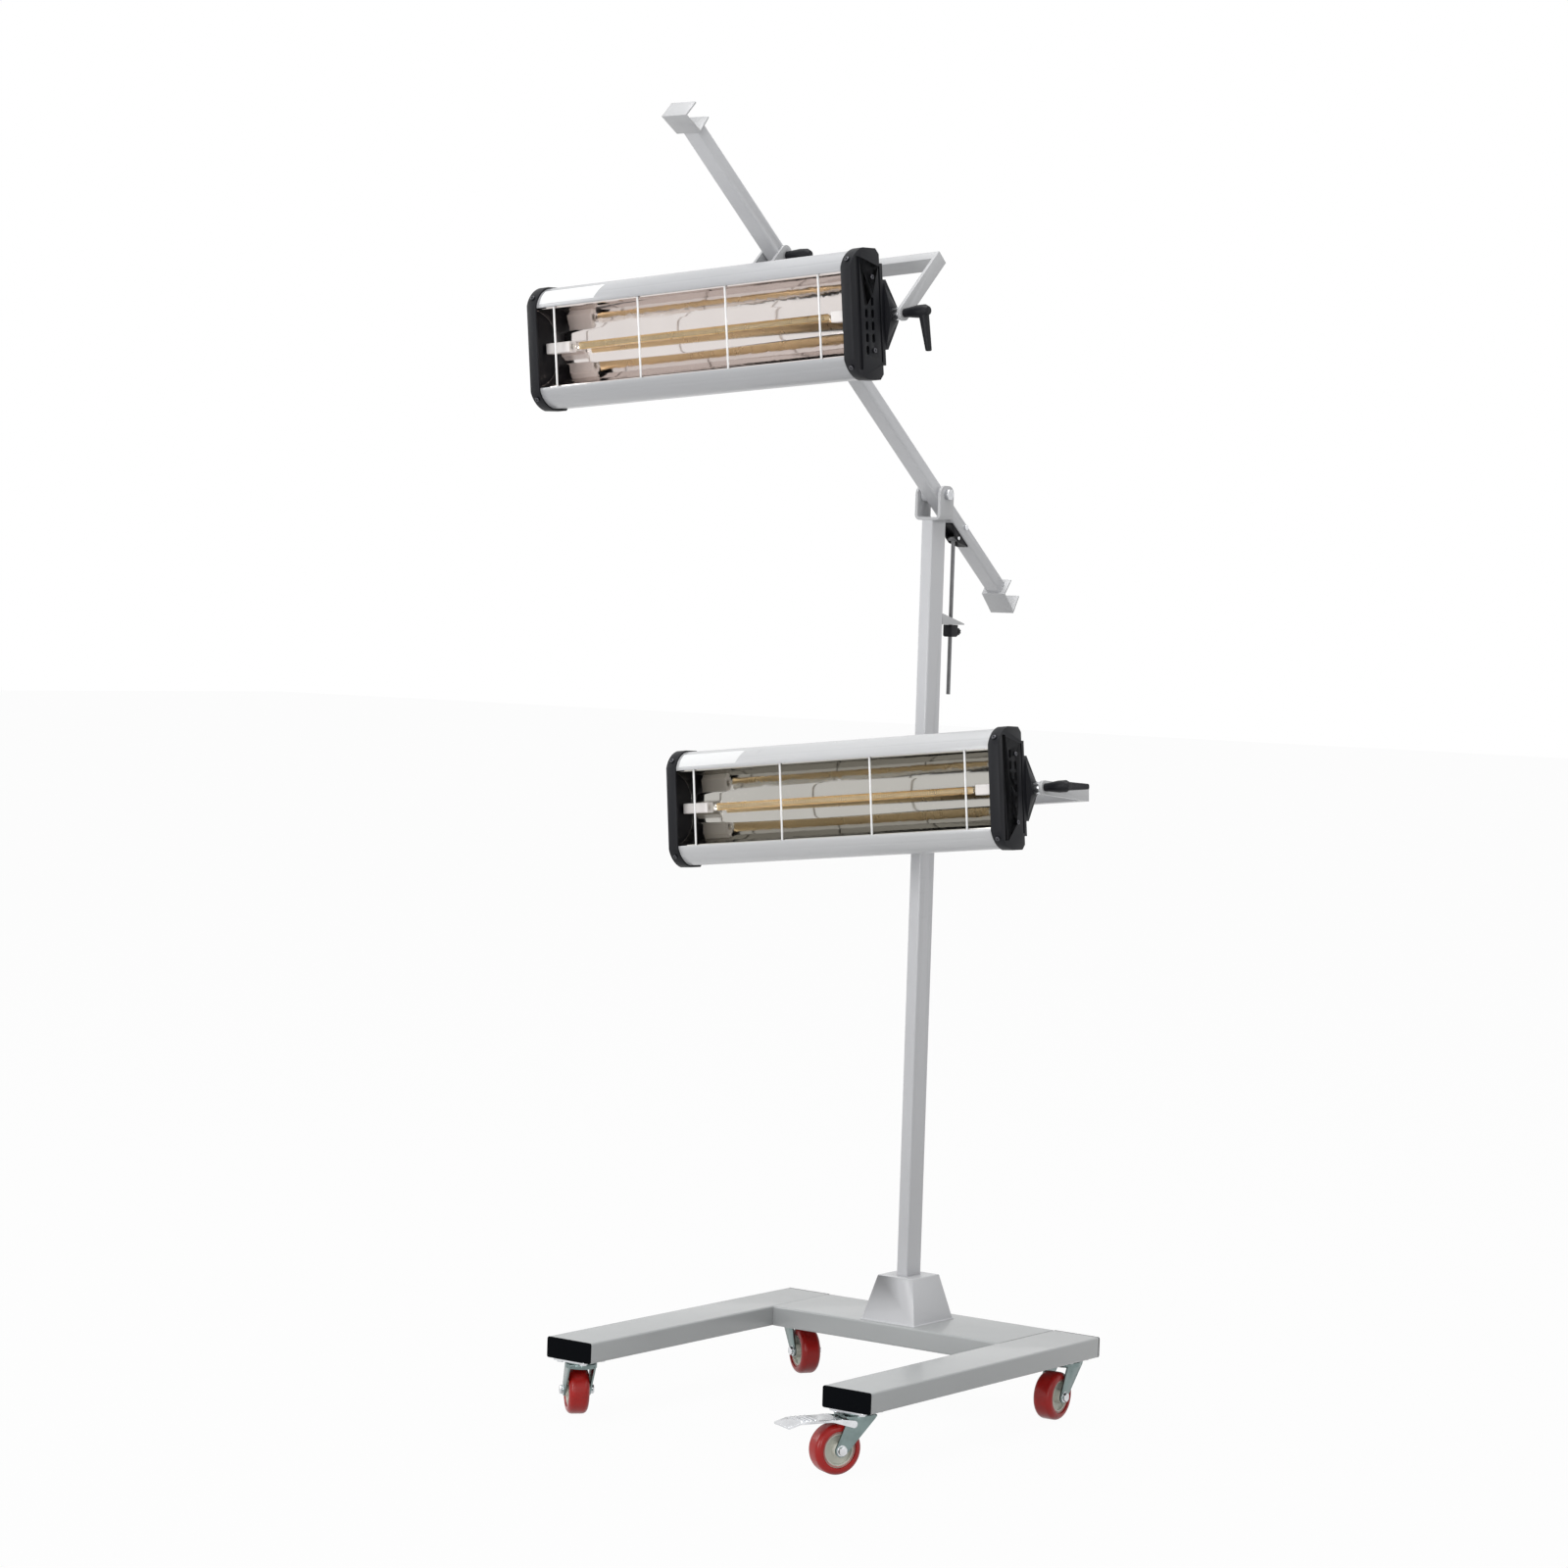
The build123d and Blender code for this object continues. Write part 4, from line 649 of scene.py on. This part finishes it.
def bareLabel(head):
    # a plain sticker that follows the rounded front band of the housing
    rim = label["rim"]
    middleY, middleZ, radius = circleThrough(*rim)
    first = math.atan2(rim[0][1] - middleZ, rim[0][0] - middleY)
    last = math.atan2(rim[2][1] - middleZ, rim[2][0] - middleY)
    if first < 0:
        first += 2 * math.pi
    if last < 0:
        last += 2 * math.pi
    reach = radius - label["inset"] + label["stand"]
    bpy.ops.mesh.primitive_grid_add(x_subdivisions=label["columns"],
                                    y_subdivisions=label["rows"], size=1)
    sticker = bpy.context.active_object
    sticker.name = head + "_bare_label"
    for corner in sticker.data.vertices:
        u, v = corner.co.x + 0.5, corner.co.y + 0.5
        share = label["startShare"] + (label["endShare"] - label["startShare"]) * v
        turn = first + (last - first) * share
        right = label["right"] + label["slant"] * v
        corner.co = (label["left"] + (right - label["left"]) * u,
                     middleY + reach * math.cos(turn) - label["depth"],
                     middleZ + reach * math.sin(turn))
    applyModifier(sticker, "thickness", "SOLIDIFY", thickness=label["sheet"], offset=0)
    editAll()
    bpy.ops.mesh.normals_make_consistent(inside=False)
    endEdit()
    smoothByAngle(sticker, cleanUp["smooth"])
    settle(sticker, headFrames[head])
    dress(sticker, labelPaper, head + "_head")


screwHead = {"radius": 0.00325, "height": 0.002, "segments": 28, "dome": 0.0008,
             "slotLength": 0.0036, "slotWidth": 0.0008, "slotDepth": 0.0012}


def boxCutter(size, place):
    bpy.ops.mesh.primitive_cube_add(size=1, location=place)
    cutter = bpy.context.active_object
    cutter.scale = size
    bpy.ops.object.transform_apply(location=True, rotation=True, scale=True)
    return cutter


def crossScrew(name):
    # a low domed head with a cross recess, standing on the XY plane
    look = screwHead
    bpy.ops.mesh.primitive_cylinder_add(vertices=look["segments"], radius=look["radius"],
                                        depth=look["height"],
                                        location=(0, 0, look["height"] / 2))
    screw = bpy.context.active_object
    screw.name = name
    bpy.ops.object.transform_apply(location=True, rotation=True, scale=True)
    editAll()
    bpy.ops.mesh.select_all(action="DESELECT")
    bpy.context.tool_settings.mesh_select_mode = (False, False, True)
    mesh = bmesh.from_edit_mesh(screw.data)
    for face in mesh.faces:
        face.select = face.normal.z > 0.9
    bmesh.update_edit_mesh(screw.data)
    for thickness in (look["dome"], look["dome"]):
        bpy.ops.mesh.inset(thickness=thickness, depth=look["dome"] / 3)
    endEdit()
    applyModifier(screw, "rim", "BEVEL", width=0.0003, segments=2, limit_method="ANGLE",
                  angle_limit=math.radians(50))
    for turn in (0, math.pi / 2):
        cutter = boxCutter((look["slotLength"], look["slotWidth"], look["slotDepth"] * 2),
                           (0, 0, look["height"] + look["dome"] / 2))
        cutter.data.transform(Matrix.Rotation(turn, 4, "Z"))
        applyModifier(screw, "recess", "BOOLEAN", object=cutter, operation="DIFFERENCE",
                      solver="EXACT")
        bpy.data.objects.remove(cutter)
    return screw


def joinAll(parts, name):
    bpy.ops.object.select_all(action="DESELECT")
    for part in parts:
        part.select_set(True)
    bpy.context.view_layer.objects.active = parts[0]
    bpy.ops.object.join()
    joined = bpy.context.active_object
    joined.name = name
    return joined


def copyAt(master, place):
    activate(master)
    bpy.ops.object.duplicate()
    twin = bpy.context.active_object
    twin.data.transform(place)
    return twin


def anyAcross(way):
    side = way.cross(Vector((0, 0, 1)))
    if side.length < 0.1:
        side = way.cross(Vector((0, 1, 0)))
    return side.normalized()


def detailedCapScrews(head):
    master = crossScrew(head + "_screw_master")
    placed = []
    for points in islandsOf(head + "_cap_screws"):
        way = longestWay(points)
        middle = middleOf(points)
        along = [(point - middle).dot(way) for point in points]
        wide = [((point - middle) - way * (point - middle).dot(way)).length
                for point in points]
        headSide = [a for a, w in zip(along, wide) if w > max(wide) * 0.9]
        if max(headSide) < (max(along) + min(along)) / 2:
            way = -way
            headSide = [-a for a in headSide]
        seat = middle + way * min(headSide)
        placed.append(copyAt(master, frameFrom(seat, anyAcross(way), way)))
    bpy.data.objects.remove(master)
    screws = joinAll(placed, head + "_cross_screws")
    smoothByAngle(screws, 35)
    dress(screws, darkSteel, head + "_head", (head + "_cap_screws",))


casterTrim = {"lipRadius": 0.0199, "lipThick": 0.0017, "lipHeight": 0.0816,
              "ringRadius": 0.0229, "ringThick": 0.0009, "hubHalf": 0.0125,
              "nutAcross": 0.0115, "nutHeight": 0.0042, "washerRadius": 0.0076,
              "washerHeight": 0.0012, "forkHalf": 0.0195}


def casterDetails(corner):
    swivel = joints["caster_swivel_" + corner]
    spin = joints["wheel_spin_" + corner]
    axle = Vector(spin["axis"]).normalized()
    wheelMiddle = Vector(spin["pos_m"])
    swivelMiddle = Vector(swivel["pos_m"])

    # rolled lip of the ball race, on the fork
    bpy.ops.mesh.primitive_torus_add(major_radius=casterTrim["lipRadius"],
                                     minor_radius=casterTrim["lipThick"],
                                     major_segments=48, minor_segments=12)
    lip = bpy.context.active_object
    lip.name = "caster_" + corner + "_race_lip"
    settle(lip, Matrix.Translation((swivelMiddle.x, swivelMiddle.y,
                                    casterTrim["lipHeight"])))
    smoothByAngle(lip, 60)
    dress(lip, zinc, "caster_" + corner)

    # pinkish ring between the hub and the tread, on both sides of the wheel: a painted
    # highlight on the tread's rounded edge
    across = anyAcross(axle)
    rings = []
    for side in (-1, 1):
        bpy.ops.mesh.primitive_torus_add(major_radius=casterTrim["ringRadius"],
                                         minor_radius=casterTrim["ringThick"],
                                         major_segments=56, minor_segments=10)
        ring = bpy.context.active_object
        settle(ring, frameFrom(wheelMiddle + axle * side * casterTrim["hubHalf"],
                               across, axle))
        rings.append(ring)
    ring = joinAll(rings, "wheel_" + corner + "_painted_highlight_ring")
    smoothByAngle(ring, 60)
    dress(ring, treadHighlightFinish, "wheel_" + corner)

    # axle nut and washer at both cheeks of the fork
    parts = []
    for side in (-1, 1):
        way = axle * side
        seat = wheelMiddle + way * casterTrim["forkHalf"]
        for radius, height, count, start in (
                (casterTrim["washerRadius"], casterTrim["washerHeight"], 36, 0.0),
                (casterTrim["nutAcross"] / math.sqrt(3), casterTrim["nutHeight"], 6,
                 casterTrim["washerHeight"])):
            bpy.ops.mesh.primitive_cylinder_add(vertices=count, radius=radius,
                                                depth=height,
                                                location=(0, 0, start + height / 2))
            part = bpy.context.active_object
            bpy.ops.object.transform_apply(location=True, rotation=True, scale=True)
            applyModifier(part, "rim", "BEVEL", width=0.0004, segments=2,
                          limit_method="ANGLE", angle_limit=math.radians(40))
            settle(part, frameFrom(seat, across, way))
            parts.append(part)
    nuts = joinAll(parts, "caster_" + corner + "_axle_nuts")
    smoothByAngle(nuts, 35)
    dress(nuts, steel, "caster_" + corner)


weldLook = {"radius": 0.0016, "lift": 0.0004}


def socketWeld():
    # painted weld bead round the foot of the socket
    low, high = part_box("post_socket")
    bpy.ops.mesh.primitive_plane_add(size=1, location=((low.x + high.x) / 2,
                                                       (low.y + high.y) / 2,
                                                       low.z + weldLook["lift"]))
    bead = bpy.context.active_object
    bead.name = "socket_weld"
    bead.scale = (high.x - low.x, high.y - low.y, 1)
    bpy.ops.object.transform_apply(location=True, rotation=True, scale=True)
    editAll()
    bpy.ops.mesh.delete(type="ONLY_FACE")
    endEdit()
    bpy.ops.object.convert(target="CURVE")
    bead = bpy.context.active_object
    bead.data.bevel_depth = weldLook["radius"]
    bead.data.bevel_resolution = 3
    bpy.ops.object.convert(target="MESH")
    bead = bpy.context.active_object
    editAll()
    bpy.ops.mesh.remove_doubles(threshold=cleanUp["merge"])
    bpy.ops.mesh.normals_make_consistent(inside=False)
    endEdit()
    smoothByAngle(bead, 60)
    dress(bead, paint, "stand")


for corner in corners:
    casterDetails(corner)
socketWeld()
print("casters and weld ready")
for head in heads:
    darkenEndWalls(head)
    detailedCapScrews(head)
    quartzTube(head)
    bareLabel(head)
print("lamp tubes and labels ready")


# camera at the photograph's angle

view = {"place": (3.24236, -4.53357, 1.16374), "yaw": 36.52, "pitch": -2.53, "roll": 1.83,
        "focal": 3969.27, "pixels": 1600, "sensor": 36.0}
yaw, pitch, roll = (math.radians(view[key]) for key in ("yaw", "pitch", "roll"))
forward = Vector((-math.sin(yaw) * math.cos(pitch), math.cos(yaw) * math.cos(pitch),
                  math.sin(pitch)))
level = Vector((math.cos(yaw), math.sin(yaw), 0))
upright = level.cross(forward)
across = level * math.cos(roll) + upright * math.sin(roll)
above = upright * math.cos(roll) - level * math.sin(roll)
bpy.ops.object.camera_add()
camera = bpy.context.active_object
camera.matrix_world = (Matrix.Translation(view["place"])
                       @ Matrix((across, above, -forward)).transposed().to_4x4())
camera.data.sensor_width = view["sensor"]
camera.data.lens = view["focal"] * view["sensor"] / view["pixels"]
camera.data.clip_end = 60
bpy.context.scene.camera = camera


# floor, white surround and studio light

bpy.ops.mesh.primitive_plane_add(size=60)
floor = bpy.context.active_object
floor.name = "floor"
floorPaint = bpy.data.materials.new("paleFloor")
floorPaint.use_nodes = True
tree = floorPaint.node_tree
floorShader = tree.nodes["Principled BSDF"]
floorShader.inputs["Base Color"].default_value = (0.42, 0.42, 0.42, 1)
floorShader.inputs["Roughness"].default_value = 0.75
glow = tree.nodes.new("ShaderNodeEmission")
glow.inputs["Strength"].default_value = 1.0
blendGlow = tree.nodes.new("ShaderNodeMixShader")
rays = tree.nodes.new("ShaderNodeLightPath")
seen = tree.nodes.new("ShaderNodeMath")
seen.operation = "MAXIMUM"
share = tree.nodes.new("ShaderNodeMath")
share.operation = "MULTIPLY"
share.inputs[1].default_value = 0.965
linkIn(tree, rays.outputs["Is Camera Ray"], seen.inputs[0])
linkIn(tree, rays.outputs["Is Glossy Ray"], seen.inputs[1])
linkIn(tree, seen.outputs["Value"], share.inputs[0])
linkIn(tree, share.outputs["Value"], blendGlow.inputs[0])
linkIn(tree, floorShader.outputs["BSDF"], blendGlow.inputs[1])
linkIn(tree, glow.outputs["Emission"], blendGlow.inputs[2])
linkIn(tree, blendGlow.outputs["Shader"], tree.nodes["Material Output"].inputs["Surface"])
floor.data.materials.append(floorPaint)

world = bpy.data.worlds.new("studio")
bpy.context.scene.world = world
world.use_nodes = True
tree = world.node_tree
ambient = tree.nodes["Background"]
ambient.inputs["Color"].default_value = (1, 1, 1, 1)
ambient.inputs["Strength"].default_value = 0.42
white = tree.nodes.new("ShaderNodeBackground")
white.inputs["Color"].default_value = (1, 1, 1, 1)
white.inputs["Strength"].default_value = 1.0
mixed = tree.nodes.new("ShaderNodeMixShader")
rays = tree.nodes.new("ShaderNodeLightPath")
shown = tree.nodes.new("ShaderNodeMath")
shown.operation = "MAXIMUM"
clear = tree.nodes.new("ShaderNodeMath")
clear.operation = "MAXIMUM"
linkIn(tree, rays.outputs["Is Camera Ray"], shown.inputs[0])
linkIn(tree, rays.outputs["Is Glossy Ray"], shown.inputs[1])
linkIn(tree, shown.outputs["Value"], clear.inputs[0])
linkIn(tree, rays.outputs["Is Transmission Ray"], clear.inputs[1])
linkIn(tree, clear.outputs["Value"], mixed.inputs[0])
linkIn(tree, ambient.outputs["Background"], mixed.inputs[1])
linkIn(tree, white.outputs["Background"], mixed.inputs[2])
linkIn(tree, mixed.outputs["Shader"], tree.nodes["World Output"].inputs["Surface"])

lamps = {
    "topLight": {"place": (0.3, -0.8, 7.0), "aim": (0, 0, 0.9),
                 "size": 5.0, "power": 300},
    "leftLight": {"place": (-4.6, -1.6, 2.2), "aim": (0, 0, 1.0),
                  "size": 1.8, "power": 40},
    "rightLight": {"place": (4.4, -0.8, 2.4), "aim": (0, 0, 1.0),
                   "size": 2.0, "power": 18},
    "frontLight": {"place": (-0.2, -5.2, 1.5), "aim": (0, 0, 1.0),
                   "size": 2.2, "power": 90},
    "frontStrip": {"place": (3.5, -4.3, 1.1), "aim": (0, 0, 1.1),
                   "size": 0.35, "tall": 2.6, "power": 38},
}
for name, look in lamps.items():
    bpy.ops.object.light_add(type="AREA", location=look["place"])
    light = bpy.context.active_object
    light.name = name
    light.data.shape = "RECTANGLE"
    light.data.size = look["size"]
    light.data.size_y = look.get("tall", look["size"])
    light.data.energy = look["power"]
    light.rotation_mode = "QUATERNION"
    way = Vector(look["aim"]) - Vector(look["place"])
    light.rotation_quaternion = way.to_track_quat("-Z", "Y")
bpy.context.scene.view_settings.view_transform = "Standard"
print("camera, floor and light ready")
